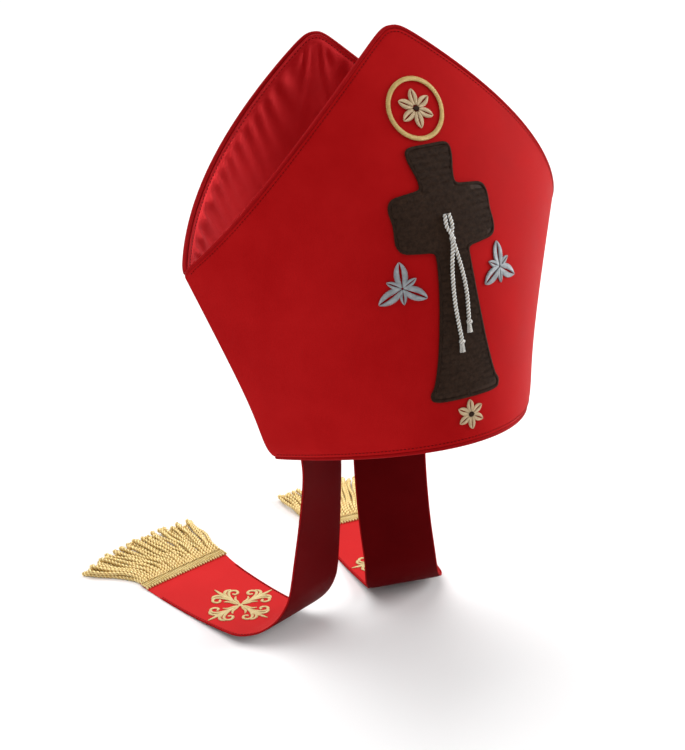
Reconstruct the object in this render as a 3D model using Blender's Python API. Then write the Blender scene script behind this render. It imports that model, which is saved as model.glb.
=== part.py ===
"""A mitre: two stiff fabric horns on a band-shaped base, a satin lining in the fold between them,
corded edges, two lappets with bullion fringe, and sewn-on embroidery.

Units are metres, +Z is up. The hat is modelled as it is worn, leaning back by WORN_TILT, and the
origin is the middle of the head opening. Heights inside the hat are measured along its own axis.
"""
import math

import bmesh
import bpy
import numpy as np

MM = 0.001

# The hat's own outline, measured square to its axis before it leans back
BASE_HALF_WIDTH = 99.2 * MM
BASE_HALF_DEPTH = 96.4 * MM
BASE_ARCH = 4.0 * MM
SHOULDER_HEIGHT = 143.2 * MM
SHOULDER_HALF_WIDTH = 148.3 * MM
SHOULDER_HALF_DEPTH = 103.0 * MM
PEAK_HEIGHT = 288.0 * MM
PEAK_HALF_DEPTH = 55.2 * MM
PEAK_ROUNDING = 8.0 * MM
HORN_EDGE_BULGE = 8.3 * MM
HORN_FULLNESS = 12.5 * MM
SHOULDER_BLEND = 6.0 * MM
HEM_FULLNESS = 12.0 * MM
HEM_FULL_TO = 20.0 * MM
HEM_FULL_FROM = 7.0 * MM
SECTION_POWER = 0.94
ROUNDING_POWER = 2.6
WORN_TILT = math.radians(16.5)

# Walls, edges and clearances
PANEL_THICKNESS = 2.5 * MM
LINING_THICKNESS = 1.0 * MM
PIPING_DIAMETER = 3.0 * MM
FIT_GAP = 0.3 * MM
LINING_EASE = 0.8 * MM
MOTIF_EASE = 0.6 * MM
CORNER_RATIO = 1.2

# The lining's fold between the horns
FOLD_CORNER_DEPTH = 7.0 * MM
FOLD_DEPTH = 22.0 * MM
FOLD_RADIUS = 12.0 * MM
FOLD_SAG = 4.0 * MM

# Lappets: two strips sewn inside the back of the rim, hanging down and lying on a table
TABLE_DROP = 200.5 * MM
LAPPET_THICKNESS = 1.5 * MM
LAPPET_TOP_WIDTH = 55.0 * MM
LAPPET_END_WIDTH = 79.0 * MM
LAPPET_FLARE_POWER = 2.2
LAPPET_PARTING = 21.0 * MM
LAPPET_SEWN_HEIGHT = 14.0 * MM
LEFT_SPLAY = 81.0 * MM
LEFT_RUN = 110.6 * MM
LEFT_ANGLE = math.radians(11.6)
RIGHT_SPLAY = 43.0 * MM
RIGHT_RUN = 117.0 * MM
RIGHT_ANGLE = math.radians(5.0)

# Bullion fringe and its braid heading
BRAID_WIDTH = 11.0 * MM
BRAID_THICKNESS = 2.2 * MM
FRINGE_LENGTH = 52.0 * MM
FRINGE_LOCK_THICKNESS = 2.6 * MM
FRINGE_LOCKS = 18
FRINGE_LOCK_SHARE = 0.74
FRINGE_FAN_OUTER = math.radians(40)
FRINGE_FAN_INNER = math.radians(9)
FRINGE_LENGTH_CHANGE = 0.05

# Sewn-on embroidery
MOTIF_THICKNESS = 0.8 * MM
SCROLL_CROSS_SPAN = 60.0 * MM
SCROLL_CROSS_SET_BACK = 69.0 * MM
FRONT_CROSS_FOOT = 38.0 * MM
FRONT_CROSS_HEIGHT = 165.0 * MM
FRONT_CROSS_HALF_SPAN = 37.0 * MM
RING_RADIUS = 21.0 * MM
RING_WIDTH = 3.6 * MM
ROSETTE_RADIUS = 12.5 * MM
LEAF_RADIUS = 17.0 * MM
LEAF_OFFSET = 37.0 * MM
ROUNDEL_RADIUS = 10.0 * MM
MOTIF_SPACING = 3.0 * MM
RING_HEIGHT = FRONT_CROSS_FOOT + FRONT_CROSS_HEIGHT + MOTIF_SPACING + RING_RADIUS
ROUNDEL_HEIGHT = FRONT_CROSS_FOOT - MOTIF_SPACING - ROUNDEL_RADIUS
FRONT_ARM_SHARE = 0.60
LEAF_HEIGHT = FRONT_CROSS_FOOT + FRONT_CROSS_HEIGHT * FRONT_ARM_SHARE - MOTIF_SPACING - LEAF_RADIUS

# How finely the curved walls are divided
PANEL_COLUMNS = 28
PANEL_ROWS = 13
LINING_WALL_ROWS = 4
TUBE_SIDES = 6
LAPPET_COLUMNS = 4
LAPPET_STEPS_PER_ROW = 2

# How a lappet falls: each row holds shares of its splay, its run behind the rim, its drop to the
# table, its turn from the rim's direction to the lying one, and the rim's bow that is left.
#               out     back    drop   turn  bow
LAPPET_FALL = [
    (0.000, 0.000, 0.000, 0.00, 1.00),
    (-0.040, -0.020, 0.130, 0.03, 0.75),
    (-0.055, -0.020, 0.250, 0.08, 0.50),
    (-0.005, -0.030, 0.435, 0.22, 0.22),
    (0.060, -0.045, 0.600, 0.38, 0.08),
    (0.135, -0.068, 0.758, 0.50, 0.00),
    (0.190, -0.062, 0.828, 0.56, 0.00),
    (0.275, -0.035, 0.892, 0.62, 0.00),
    (0.400, 0.005, 0.937, 0.70, 0.00),
    (0.520, 0.060, 0.958, 0.78, 0.00),
    (0.610, 0.140, 0.970, 0.85, 0.00),
    (0.705, 0.330, 0.985, 0.94, 0.00),
    (0.805, 0.545, 0.996, 1.00, 0.00),
    (0.920, 0.800, 1.000, 1.00, 0.00),
    (1.000, 1.000, 1.000, 1.00, 0.00),
]

# Each lappet: its side of the hat, its splay and run, and the angle at which its end lies
LAPPETS = {
    "left": (-1, LEFT_SPLAY, LEFT_RUN, LEFT_ANGLE),
    "right": (1, RIGHT_SPLAY, RIGHT_RUN, RIGHT_ANGLE),
}

# The front cross from foot to head: height and half width as shares of its height and half span.
#             height  half
FRONT_CROSS = [
    (0.00, 0.66),
    (0.03, 0.70),
    (0.06, 0.60),
    (0.20, 0.47),
    (0.40, 0.36),
    (0.56, 0.31),
    (FRONT_ARM_SHARE, 0.33),
    (0.607, 0.62),
    (0.615, 0.92),
    (0.65, 1.00),
    (0.72, 0.96),
    (0.785, 1.00),
    (0.82, 0.92),
    (0.828, 0.62),
    (0.835, 0.34),
    (0.88, 0.33),
    (0.96, 0.44),
    (1.00, 0.42),
]

# Material values: base colour, roughness, metallic
FINISHES = {
    "red_fabric": ((0.38, 0.008, 0.012), 0.62, 0.0),
    "red_satin": ((0.30, 0.006, 0.010), 0.32, 0.0),
    "red_piping": ((0.16, 0.004, 0.008), 0.30, 0.0),
    "gold_thread": ((0.58, 0.38, 0.12), 0.42, 0.35),
    "brown_thread": ((0.032, 0.017, 0.012), 0.60, 0.0),
    "silver_thread": ((0.32, 0.34, 0.37), 0.40, 0.2),
    "cream_thread": ((0.60, 0.46, 0.28), 0.55, 0.0),
}


def worn(x, y, height):
    """Turns a point of the upright hat into the leaning one."""
    c, s = math.cos(WORN_TILT), math.sin(WORN_TILT)
    return np.array([x, y * c + height * s, -y * s + height * c])


def horn_share(height):
    """How far a height is from the shoulders to the peaks, from 0 to 1."""
    share = (height - SHOULDER_HEIGHT) / (PEAK_HEIGHT - SHOULDER_HEIGHT)
    return min(max(share, 0.0), 1.0)


def section_width(height):
    """Half width of the hat's lens-shaped section; above the shoulders the horn cuts it off."""
    if height < SHOULDER_HEIGHT:
        share = height / SHOULDER_HEIGHT
        low = max(height, 0.0)
        hem = math.exp(-low / HEM_FULL_TO) - math.exp(-low / HEM_FULL_FROM)
        straight = BASE_HALF_WIDTH + (SHOULDER_HALF_WIDTH - BASE_HALF_WIDTH) * share
        return straight + HEM_FULLNESS * hem
    return SHOULDER_HALF_WIDTH + HORN_FULLNESS * (1 - (1 - horn_share(height)) ** 3)


def section_depth(height):
    """Half depth of the section: two straight slopes that turn smoothly into each other."""
    rise = height / SHOULDER_HEIGHT
    low = BASE_HALF_DEPTH + (SHOULDER_HALF_DEPTH - BASE_HALF_DEPTH) * rise
    slope = (PEAK_HALF_DEPTH - SHOULDER_HALF_DEPTH) / (PEAK_HEIGHT - SHOULDER_HEIGHT)
    high = SHOULDER_HALF_DEPTH + slope * (height - SHOULDER_HEIGHT)
    least = min(low, high)
    excess = abs(low - high) / SHOULDER_BLEND
    return least - SHOULDER_BLEND * math.log1p(math.exp(-excess))


def column_reach(height):
    """Half width that the panel's columns spread over at a height."""
    return section_width(height) if height < SHOULDER_HEIGHT else SHOULDER_HALF_WIDTH


def wall_point(side, x, height, inset):
    """A point of the wall on the front (side -1) or back (side 1), inset from its outer face."""
    width = section_width(height) - CORNER_RATIO * inset
    ratio = min(abs(x) / width, 1.0)
    seam = FIT_GAP / 2
    depth = section_depth(height) - inset - seam
    return worn(x, side * (seam + depth * (1 - ratio ** 2) ** SECTION_POWER), height)


def edge_height(x):
    """Height of the hat's outline above x: the horn's curved edge with a rounded peak."""
    power = ROUNDING_POWER
    goal = (abs(x) ** power + PEAK_ROUNDING ** power) ** (1 / power)
    low, high = 0.0, 1.0
    for _ in range(40):
        middle = (low + high) / 2
        reach = SHOULDER_HALF_WIDTH * (1 - middle) + HORN_EDGE_BULGE * math.sin(math.pi * middle)
        low, high = (middle, high) if reach > goal else (low, middle)
    return SHOULDER_HEIGHT + (PEAK_HEIGHT - SHOULDER_HEIGHT) * low


def panel_top(u):
    """Height of the panel's cut edge in column u, below the outline by the piping on it."""
    step = 0.01
    inner, outer = max(abs(u) - step, 0.0), min(abs(u) + step, 1.0)
    rise = edge_height(inner * SHOULDER_HALF_WIDTH) - edge_height(outer * SHOULDER_HALF_WIDTH)
    slope = rise / ((outer - inner) * SHOULDER_HALF_WIDTH)
    return edge_height(u * SHOULDER_HALF_WIDTH) - (PIPING_DIAMETER + FIT_GAP) * math.hypot(1, slope)


def panel_bottom(u):
    """Height of the panel's lower edge in column u, above the hem by the piping under it."""
    return BASE_ARCH * (1 - u * u) + PIPING_DIAMETER + FIT_GAP


def panel_point(side, u, height, inset):
    """A point in column u of a panel, where u runs from -1 to 1 between the side seams."""
    x = (column_reach(height) - CORNER_RATIO * inset) * u
    return wall_point(side, x, height, inset)


def unit(vector):
    """The vector at length 1."""
    return vector / np.linalg.norm(vector)


def spline(values, place):
    """A smooth value through a column of numbers, at a place counted in rows."""
    last = len(values) - 1
    i = min(int(place), last - 1)
    t = place - i
    a, b = values[i], values[i + 1]
    before = values[i - 1] if i > 0 else a - (b - a)
    after = values[i + 2] if i + 2 <= last else b + (b - a)
    start, end = (b - before) / 2, (after - a) / 2
    return (a * (2 * t ** 3 - 3 * t * t + 1) + start * (t ** 3 - 2 * t * t + t)
            + b * (3 * t * t - 2 * t ** 3) + end * (t ** 3 - t * t))


def material(name):
    """The named finish as a Principled material."""
    if name in bpy.data.materials:
        return bpy.data.materials[name]
    colour, roughness, metallic = FINISHES[name]
    made = bpy.data.materials.new(name)
    made.use_nodes = True
    shader = made.node_tree.nodes["Principled BSDF"]
    shader.inputs["Base Color"].default_value = (*colour, 1.0)
    shader.inputs["Roughness"].default_value = roughness
    shader.inputs["Metallic"].default_value = metallic
    return made


def add_node(name, points, faces, finish, smooth_angle=50):
    """Makes one closed, outward-facing object from points and faces."""
    mesh = bpy.data.meshes.new(name)
    mesh.from_pydata([tuple(point) for point in points], [], faces)
    body = bmesh.new()
    body.from_mesh(mesh)
    bmesh.ops.recalc_face_normals(body, faces=body.faces)
    body.to_mesh(mesh)
    body.free()
    mesh.materials.append(material(finish))
    mesh.shade_smooth()
    mesh.set_sharp_from_angle(angle=math.radians(smooth_angle))
    made = bpy.data.objects.new(name, mesh)
    bpy.context.scene.collection.objects.link(made)
    return made


def shell_faces(rows, columns):
    """Faces of a closed shell: an outer grid, an inner grid after it, and the wall round their rim."""
    count = rows * columns
    faces = []
    for r in range(rows - 1):
        for c in range(columns - 1):
            a = r * columns + c
            quad = (a, a + 1, a + columns + 1, a + columns)
            faces.append(quad)
            faces.append(tuple(count + i for i in reversed(quad)))
    rim = [(0, c) for c in range(columns)]
    rim += [(r, columns - 1) for r in range(1, rows)]
    rim += [(rows - 1, c) for c in range(columns - 2, -1, -1)]
    rim += [(r, 0) for r in range(rows - 2, 0, -1)]
    for i, (r, c) in enumerate(rim):
        r2, c2 = rim[(i + 1) % len(rim)]
        a, b = r * columns + c, r2 * columns + c2
        faces.append((b, a, count + a, count + b))
    return faces


def grid_normals(grid):
    """Unit normals of a rows x columns x 3 grid of points."""
    along = np.gradient(grid, axis=0)
    across = np.gradient(grid, axis=1)
    normals = np.cross(along, across)
    return normals / np.linalg.norm(normals, axis=2, keepdims=True)


def add_shell(name, outer, inner, finish):
    """Makes a wall from its two faces, each a rows x columns x 3 grid."""
    rows, columns = outer.shape[:2]
    points = np.concatenate([outer.reshape(-1, 3), inner.reshape(-1, 3)])
    return add_node(name, points, shell_faces(rows, columns), finish)


def add_sheet(name, middle, thickness, finish):
    """Makes a wall of one thickness about its middle surface."""
    half = grid_normals(middle) * thickness / 2
    return add_shell(name, middle + half, middle - half, finish)


def add_tube(name, path, radius, reference, cyclic, finish):
    """Makes a round cord along a path; the reference direction keeps its sides from twisting."""
    count = len(path)
    points, faces = [], []
    for i, centre in enumerate(path):
        ahead = path[(i + 1) % count] if cyclic or i + 1 < count else centre
        behind = path[i - 1] if cyclic or i > 0 else centre
        sideways = unit(np.cross(unit(ahead - behind), reference))
        upward = unit(np.cross(sideways, unit(ahead - behind)))
        for k in range(TUBE_SIDES):
            angle = 2 * math.pi * k / TUBE_SIDES
            points.append(centre + radius * (math.cos(angle) * sideways + math.sin(angle) * upward))
    for i in range(count if cyclic else count - 1):
        for k in range(TUBE_SIDES):
            a, b = i * TUBE_SIDES, ((i + 1) % count) * TUBE_SIDES
            n = (k + 1) % TUBE_SIDES
            faces.append((a + k, a + n, b + n, b + k))
    if not cyclic:
        faces.append(tuple(range(TUBE_SIDES)))
        faces.append(tuple((count - 1) * TUBE_SIDES + k for k in reversed(range(TUBE_SIDES))))
    return add_node(name, points, faces, finish)


def panel_columns():
    """The columns of a panel, from -1 to 1 between its side seams."""
    return [2 * column / PANEL_COLUMNS - 1 for column in range(PANEL_COLUMNS + 1)]


def build_panel(name, side):
    """One stiff horn panel with the half of the band below it."""
    faces = []
    for inset in (0.0, PANEL_THICKNESS):
        grid = []
        for row in range(PANEL_ROWS + 1):
            line = []
            for u in panel_columns():
                low, high = panel_bottom(u), panel_top(u)
                line.append(panel_point(side, u, low + (high - low) * row / PANEL_ROWS, inset))
            grid.append(line)
        faces.append(np.array(grid))
    return add_shell(name, *faces, "red_fabric")


def fold_height(u):
    """Height of the lining's fold in column u, lowest in the middle of the hat."""
    return SHOULDER_HEIGHT - FOLD_CORNER_DEPTH - FOLD_DEPTH * (1 - u * u)


def lining_section(u, inset):
    """The lining's middle line in column u: down the front horn, over the fold, up the back horn."""
    top = panel_top(u) - PIPING_DIAMETER / 2
    fold = fold_height(u)
    foot = panel_point(1, u, fold, inset)
    half = np.linalg.norm(foot - panel_point(-1, u, fold, inset)) / 2
    radius = min(FOLD_RADIUS, half * 0.8, (top - fold) * 0.6)
    wall = [panel_point(-1, u, top + (fold + radius - top) * row / LINING_WALL_ROWS, inset)
            for row in range(LINING_WALL_ROWS + 1)]
    line = list(wall)
    x = (column_reach(fold) - CORNER_RATIO * inset) * u
    for turn in (30, 60, 90):
        angle = math.radians(turn)
        line.append(worn(x, -half + radius * (1 - math.cos(angle)), fold + radius * (1 - math.sin(angle))))
    sag = FOLD_SAG * min(half / BASE_HALF_DEPTH, 1.0)
    for share in (-0.5, 0.0, 0.5):
        line.append(worn(x, share * 2 * (half - radius), fold - sag * (1 - abs(share))))
    for turn in (90, 60, 30):
        angle = math.radians(turn)
        line.append(worn(x, half - radius * (1 - math.cos(angle)), fold + radius * (1 - math.sin(angle))))
    for row in range(LINING_WALL_ROWS, -1, -1):
        line.append(panel_point(1, u, top + (fold + radius - top) * row / LINING_WALL_ROWS, inset))
    return line


def build_lining():
    """The satin lining on the horns' inner faces, with the fold that joins them."""
    inset = PANEL_THICKNESS + LINING_EASE + LINING_THICKNESS / 2
    sections = [lining_section(u, inset) for u in panel_columns()[1:-1]]
    return add_sheet("crown_lining", np.array(sections), LINING_THICKNESS, "red_satin")


def seated_on_edge(side, u, height, away):
    """Where a cord lies along a panel's cut edge, its centre a radius and the gap beyond it."""
    step = 0.004
    middle = PANEL_THICKNESS / 2
    here = panel_point(side, u, height(u), middle)
    tangent = unit(panel_point(side, min(u + step, 1.0), height(min(u + step, 1.0)), middle)
                   - panel_point(side, max(u - step, -1.0), height(max(u - step, -1.0)), middle))
    out = away * (panel_point(side, u, height(u), middle)
                  - panel_point(side, u, height(u) - MM, middle))
    out = unit(out - tangent * np.dot(out, tangent))
    return here + out * (PIPING_DIAMETER / 2 + FIT_GAP)


def build_horn_piping(name, side):
    """The cord along one horn's edge, from side point over the peak to side point."""
    end = 1 - PIPING_DIAMETER / SHOULDER_HALF_WIDTH
    columns = [min(max(u, -end), end) for u in panel_columns()]
    path = [seated_on_edge(side, u, panel_top, 1) for u in columns]
    return add_tube(name, path, PIPING_DIAMETER / 2, worn(0, 1, 0), False, "red_piping")


def build_base_piping():
    """The cord round the base under both panels."""
    front = [seated_on_edge(-1, u, panel_bottom, -1) for u in panel_columns()]
    back = [seated_on_edge(1, -u, panel_bottom, -1) for u in panel_columns()[1:-1]]
    return add_tube("piping_base", front + back, PIPING_DIAMETER / 2, worn(0, 0, 1), True, "red_piping")


def rim_line(side):
    """Where a lappet leaves the back rim: points from its outer to its inner edge."""
    inset = lappet_inset()
    inner = LAPPET_PARTING / 2
    low, high = inner, BASE_HALF_WIDTH * 0.98
    start = wall_point(1, inner, 0, inset)
    for _ in range(40):
        outer = (low + high) / 2
        chord = np.linalg.norm(wall_point(1, outer, 0, inset) - start)
        low, high = (outer, high) if chord < LAPPET_TOP_WIDTH else (low, outer)
    return [side * (outer + (inner - outer) * c / LAPPET_COLUMNS) for c in range(LAPPET_COLUMNS + 1)]


def lappet_inset():
    """How deep a lappet's middle surface lies inside the wall, clear of the cord under it."""
    inner_face = max(PANEL_THICKNESS, (PANEL_THICKNESS + PIPING_DIAMETER) / 2)
    return inner_face + FIT_GAP + LAPPET_THICKNESS / 2


def lying_directions(side, angle):
    """Unit directions of a lappet's lying end: across it from the outer edge, and along it."""
    across = np.array([-side * math.cos(angle), math.sin(angle), 0.0])
    along = np.array([side * math.sin(angle), math.cos(angle), 0.0])
    return across, along


def lappet_surface(side, splay, run, angle):
    """The middle surface of a lappet, as rows from its sewn end to its fringed end."""
    places = rim_line(side)
    inset = lappet_inset()
    rows = []
    for share in (1.0, 0.5):
        height = LAPPET_SEWN_HEIGHT * share
        rows.append([wall_point(1, x, height, inset) for x in places])
    rim = np.array([wall_point(1, x, 0, inset) for x in places])
    shares = np.linspace(0, 1, LAPPET_COLUMNS + 1)[:, None]
    chord = rim[0] + (rim[-1] - rim[0]) * shares
    rim_across = unit((rim[-1] - rim[0]) * np.array([1, 1, 0]))
    across, along = lying_directions(side, angle)
    ground = -TABLE_DROP + LAPPET_THICKNESS / 2
    steps = (len(LAPPET_FALL) - 1) * LAPPET_STEPS_PER_ROW
    for step in range(steps + 1):
        place = step / LAPPET_STEPS_PER_ROW
        out, back, drop, turn, bow = [spline([row[k] for row in LAPPET_FALL], place) for k in range(5)]
        drop = min(drop, 1.0)
        flare = (step / steps) ** LAPPET_FLARE_POWER
        width = LAPPET_TOP_WIDTH + (LAPPET_END_WIDTH - LAPPET_TOP_WIDTH) * flare
        direction = unit(rim_across * (1 - turn) + across * turn)
        corner = rim[0] + np.array([side * splay * out, run * back, 0.0])
        line = corner + direction * width * shares + (rim - chord) * bow
        line[:, 2] = rim[:, 2] + (ground - rim[:, 2]) * drop
        rows.append(line)
    for share in (0.5, 1.0):
        rows.append(rows[steps + 2] + along * BRAID_WIDTH * share)
    return np.array([np.array(row) for row in rows])


def on_surface(surface, set_back, across, lift):
    """A point over a lappet: a distance back from its end, a distance off its middle, and a lift."""
    middle = surface.shape[1] // 2
    line = surface[::-1, middle]
    lengths = np.concatenate([[0], np.cumsum(np.linalg.norm(np.diff(line, axis=0), axis=1))])
    row = float(np.interp(set_back, lengths, np.arange(len(line))))
    i = min(int(row), len(line) - 2)
    t = row - i
    normals = grid_normals(surface)[::-1]
    edge = surface[::-1]
    here = edge[i] * (1 - t) + edge[i + 1] * t
    up = unit(normals[i, middle] * (1 - t) + normals[i + 1, middle] * t)
    up = up if up[2] > 0 else -up
    return here[middle] + unit(here[-1] - here[0]) * across + up * lift


def build_fringe(name, surface, side, angle):
    """The braid heading across a lappet's end with the bullion locks that fan out from it."""
    across, along = lying_directions(side, angle)
    up = np.array([0.0, 0.0, 1.0])
    corner = surface[-1, 0] - along * BRAID_WIDTH
    low = LAPPET_THICKNESS / 2 + FIT_GAP
    pitch = LAPPET_END_WIDTH / FRINGE_LOCKS
    margin = pitch * (1 - FRINGE_LOCK_SHARE) / 2
    marks = [0.0]
    for lock in range(FRINGE_LOCKS):
        marks += [lock * pitch + margin, (lock + 1) * pitch - margin]
    marks.append(LAPPET_END_WIDTH)
    points, faces = [], []
    for mark in marks:
        for reach in (0.0, BRAID_WIDTH + FIT_GAP):
            for height in (low, low + BRAID_THICKNESS):
                points.append(corner + across * mark + along * reach + up * height)
    for i in range(len(marks) - 1):
        a, b = 4 * i, 4 * i + 4
        faces += [(a, a + 1, b + 1, b), (a, b, b + 2, a + 2), (a + 1, a + 3, b + 3, b + 1)]
        if i % 2 == 0:
            faces.append((a + 2, b + 2, b + 3, a + 3))
    faces += [(0, 2, 3, 1), (4 * len(marks) - 4, 4 * len(marks) - 3, 4 * len(marks) - 1, 4 * len(marks) - 2)]
    rest = -TABLE_DROP - corner[2] + FRINGE_LOCK_THICKNESS / 2
    for lock in range(FRINGE_LOCKS):
        share = (lock + 0.5) / FRINGE_LOCKS
        fan = FRINGE_FAN_OUTER + (-FRINGE_FAN_INNER - FRINGE_FAN_OUTER) * share
        length = FRINGE_LENGTH * (1 + FRINGE_LENGTH_CHANGE * math.sin(2.4 * lock))
        start = corner + across * (lock + 0.5) * pitch + along * (BRAID_WIDTH + FIT_GAP)
        root = 4 * (2 * lock + 1) + 2
        last = [root, root + 4, root + 5, root + 1]
        for reach, size in ((0.10, 1.0), (0.25, 1.0), (0.93, 0.95), (1.0, 0.5)):
            lean = fan * min(reach / 0.25, 1.0)
            heading = along * math.cos(lean) - across * math.sin(lean)
            sideways = across * math.cos(lean) + along * math.sin(lean)
            settle = min(reach / 0.25, 1.0)
            height = (low + BRAID_THICKNESS / 2) * (1 - settle) + rest * settle
            centre = start + heading * length * reach + up * height
            half = sideways * pitch * FRINGE_LOCK_SHARE * size / 2
            thick = up * FRINGE_LOCK_THICKNESS * size / 2
            new = len(points)
            points += [centre - half - thick, centre + half - thick]
            points += [centre + half + thick, centre - half + thick]
            ring = [new, new + 1, new + 2, new + 3]
            for k in range(4):
                n = (k + 1) % 4
                faces.append((last[k], last[n], ring[n], ring[k]))
            last = ring
        faces.append(tuple(last))
    return add_node(name, points, faces, "gold_thread", 30)


def build_rosette(name, place, outline, steps, finish, hole=0.0):
    """A flat embroidered motif: place(a, b, lift) maps it to its cloth, outline(angle) is its radius."""
    rings = (hole, (1 + hole) / 2, 1.0)
    points, faces = [], []
    for lift in (MOTIF_THICKNESS, 0.0):
        for ring in rings:
            if ring == 0.0:
                points.append(place(0.0, 0.0, lift))
                continue
            for step in range(steps):
                angle = 2 * math.pi * step / steps
                radius = outline(angle) * ring
                points.append(place(radius * math.cos(angle), radius * math.sin(angle), lift))
    layer = len(points) // 2
    first = 0 if hole else 1
    for step in range(steps):
        following = (step + 1) % steps
        for base in (0, layer):
            a = base + first
            if not hole:
                faces.append((base, a + step, a + following))
            inner, outer = a, a + steps
            faces.append((inner + step, outer + step, outer + following, inner + following))
            if hole:
                inner, outer = outer, outer + steps
                faces.append((inner + step, outer + step, outer + following, inner + following))
        edge = layer - steps
        faces.append((edge + step, edge + following, layer + edge + following, layer + edge + step))
        if hole:
            faces.append((step, following, layer + following, layer + step))
    return add_node(name, points, faces, finish, 30)


def front_place(height, offset=0.0):
    """A mapping from a motif's own plane to the front panel around a height."""
    def place(a, b, lift):
        return wall_point(-1, offset + a, height + b, -lift - MOTIF_EASE)
    return place


def build_front_cross():
    """The tall cross on the front panel, as rows of its half width."""
    outer, inner = [], []
    columns = np.linspace(-1, 1, 7)
    for height, half in FRONT_CROSS:
        level = FRONT_CROSS_FOOT + FRONT_CROSS_HEIGHT * height
        outer.append([wall_point(-1, FRONT_CROSS_HALF_SPAN * half * c, level, -MOTIF_EASE - MOTIF_THICKNESS)
                      for c in columns])
        inner.append([wall_point(-1, FRONT_CROSS_HALF_SPAN * half * c, level, -MOTIF_EASE) for c in columns])
    return add_shell("front_cross", np.array(outer), np.array(inner), "brown_thread")


def build_lappet(label, side, splay, run, angle):
    """One lappet with its fringe and its scroll cross."""
    surface = lappet_surface(side, splay, run, angle)
    add_sheet("lappet_" + label, surface, LAPPET_THICKNESS, "red_fabric")
    build_fringe("fringe_" + label, surface, side, angle)

    def place(a, b, lift):
        over = LAPPET_THICKNESS / 2 + FIT_GAP + lift
        return on_surface(surface, SCROLL_CROSS_SET_BACK + BRAID_WIDTH + a, b, over)

    def scroll(turn):
        return SCROLL_CROSS_SPAN / 2 * (0.26 + 0.74 * abs(math.cos(2 * turn)) ** 1.4)

    build_rosette("scroll_cross_" + label, place, scroll, 32, "gold_thread")


def build_front_motifs():
    """The embroidery on the front panel."""
    build_front_cross()
    build_rosette("front_ring", front_place(RING_HEIGHT), lambda turn: RING_RADIUS, 28, "gold_thread",
                  hole=1 - RING_WIDTH / RING_RADIUS)
    build_rosette("front_rosette", front_place(RING_HEIGHT),
                  lambda turn: ROSETTE_RADIUS * (0.78 + 0.22 * math.cos(6 * turn)), 24, "cream_thread")
    build_rosette("foot_roundel", front_place(ROUNDEL_HEIGHT),
                  lambda turn: ROUNDEL_RADIUS * (0.85 + 0.15 * math.cos(6 * turn)), 24, "cream_thread")
    for label, side in (("left", -1), ("right", 1)):
        build_rosette("front_leaf_" + label, front_place(LEAF_HEIGHT, side * LEAF_OFFSET),
                      lambda turn: LEAF_RADIUS * (0.62 + 0.38 * math.cos(3 * (turn - math.pi / 2))),
                      24, "silver_thread")


def build_mitre():
    """Builds every piece of the mitre."""
    for made in list(bpy.data.objects):
        bpy.data.objects.remove(made, do_unlink=True)
    build_panel("front_panel", -1)
    build_panel("back_panel", 1)
    build_lining()
    build_horn_piping("piping_front", -1)
    build_horn_piping("piping_back", 1)
    build_base_piping()
    for label, values in LAPPETS.items():
        build_lappet(label, *values)
    build_front_motifs()


build_mitre()
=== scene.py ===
"""The looks of a mitre: red twill horns with a satin-lined fold, corded edges, embroidery and two
fringed lappets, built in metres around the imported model. +Z is up and the hat leans back as worn.
"""
import logging
import math
import random
from dataclasses import dataclass, field, replace
from enum import Enum
from typing import Callable, Optional, Sequence

import bmesh
import bpy
import numpy as np
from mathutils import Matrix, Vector


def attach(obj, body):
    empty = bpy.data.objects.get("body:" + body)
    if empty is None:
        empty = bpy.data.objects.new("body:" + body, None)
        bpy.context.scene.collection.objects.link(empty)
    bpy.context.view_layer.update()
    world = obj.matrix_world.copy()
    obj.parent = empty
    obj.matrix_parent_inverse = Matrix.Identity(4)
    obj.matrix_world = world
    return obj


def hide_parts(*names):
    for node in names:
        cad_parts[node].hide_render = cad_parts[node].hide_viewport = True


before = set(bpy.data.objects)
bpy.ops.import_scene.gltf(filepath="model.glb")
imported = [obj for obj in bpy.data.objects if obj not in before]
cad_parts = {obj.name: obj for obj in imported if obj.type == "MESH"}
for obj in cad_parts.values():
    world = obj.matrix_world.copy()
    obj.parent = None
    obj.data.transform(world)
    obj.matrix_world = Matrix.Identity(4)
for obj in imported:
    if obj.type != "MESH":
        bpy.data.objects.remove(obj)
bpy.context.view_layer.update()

MM = 0.001
TAU = 2 * math.pi
LOG = logging.getLogger("mitre")
Grid = np.ndarray
Colour = tuple[float, float, float]
BISECTIONS = 40
SEAM_END = 0.975
SEAM_POINTS = 400
UP = np.array([0.0, 0.0, 1.0])


class Side(Enum):
    """The two horns of the hat."""

    FRONT = -1
    BACK = 1


class Hand(Enum):
    """The two lappets, named as the viewer of the hat's front sees them."""

    LEFT = -1
    RIGHT = 1


class Weave(Enum):
    """How a cloth's threads cross."""

    TWILL = "twill"
    SATIN = "satin"


def unit(vectors: Grid) -> Grid:
    """Scales vectors to length 1 along the last axis."""
    length = np.linalg.norm(vectors, axis=-1, keepdims=True)
    return vectors / np.maximum(length, 1e-12)


def grid_normals(grid: Grid) -> Grid:
    """Gives unit normals of a rows x columns x 3 grid."""
    return unit(np.cross(np.gradient(grid, axis=0), np.gradient(grid, axis=1)))


def smooth_step(values: Grid, low: float, high: float) -> Grid:
    """Rises smoothly from 0 at low to 1 at high."""
    share = np.clip((np.asarray(values, dtype=float) - low) / (high - low), 0, 1)
    return share * share * (3 - 2 * share)


def path_lengths(points: Grid) -> Grid:
    """Gives the distance along a path at each of its points."""
    return np.concatenate([[0], np.cumsum(np.linalg.norm(np.diff(points, axis=0), axis=1))])


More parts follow.
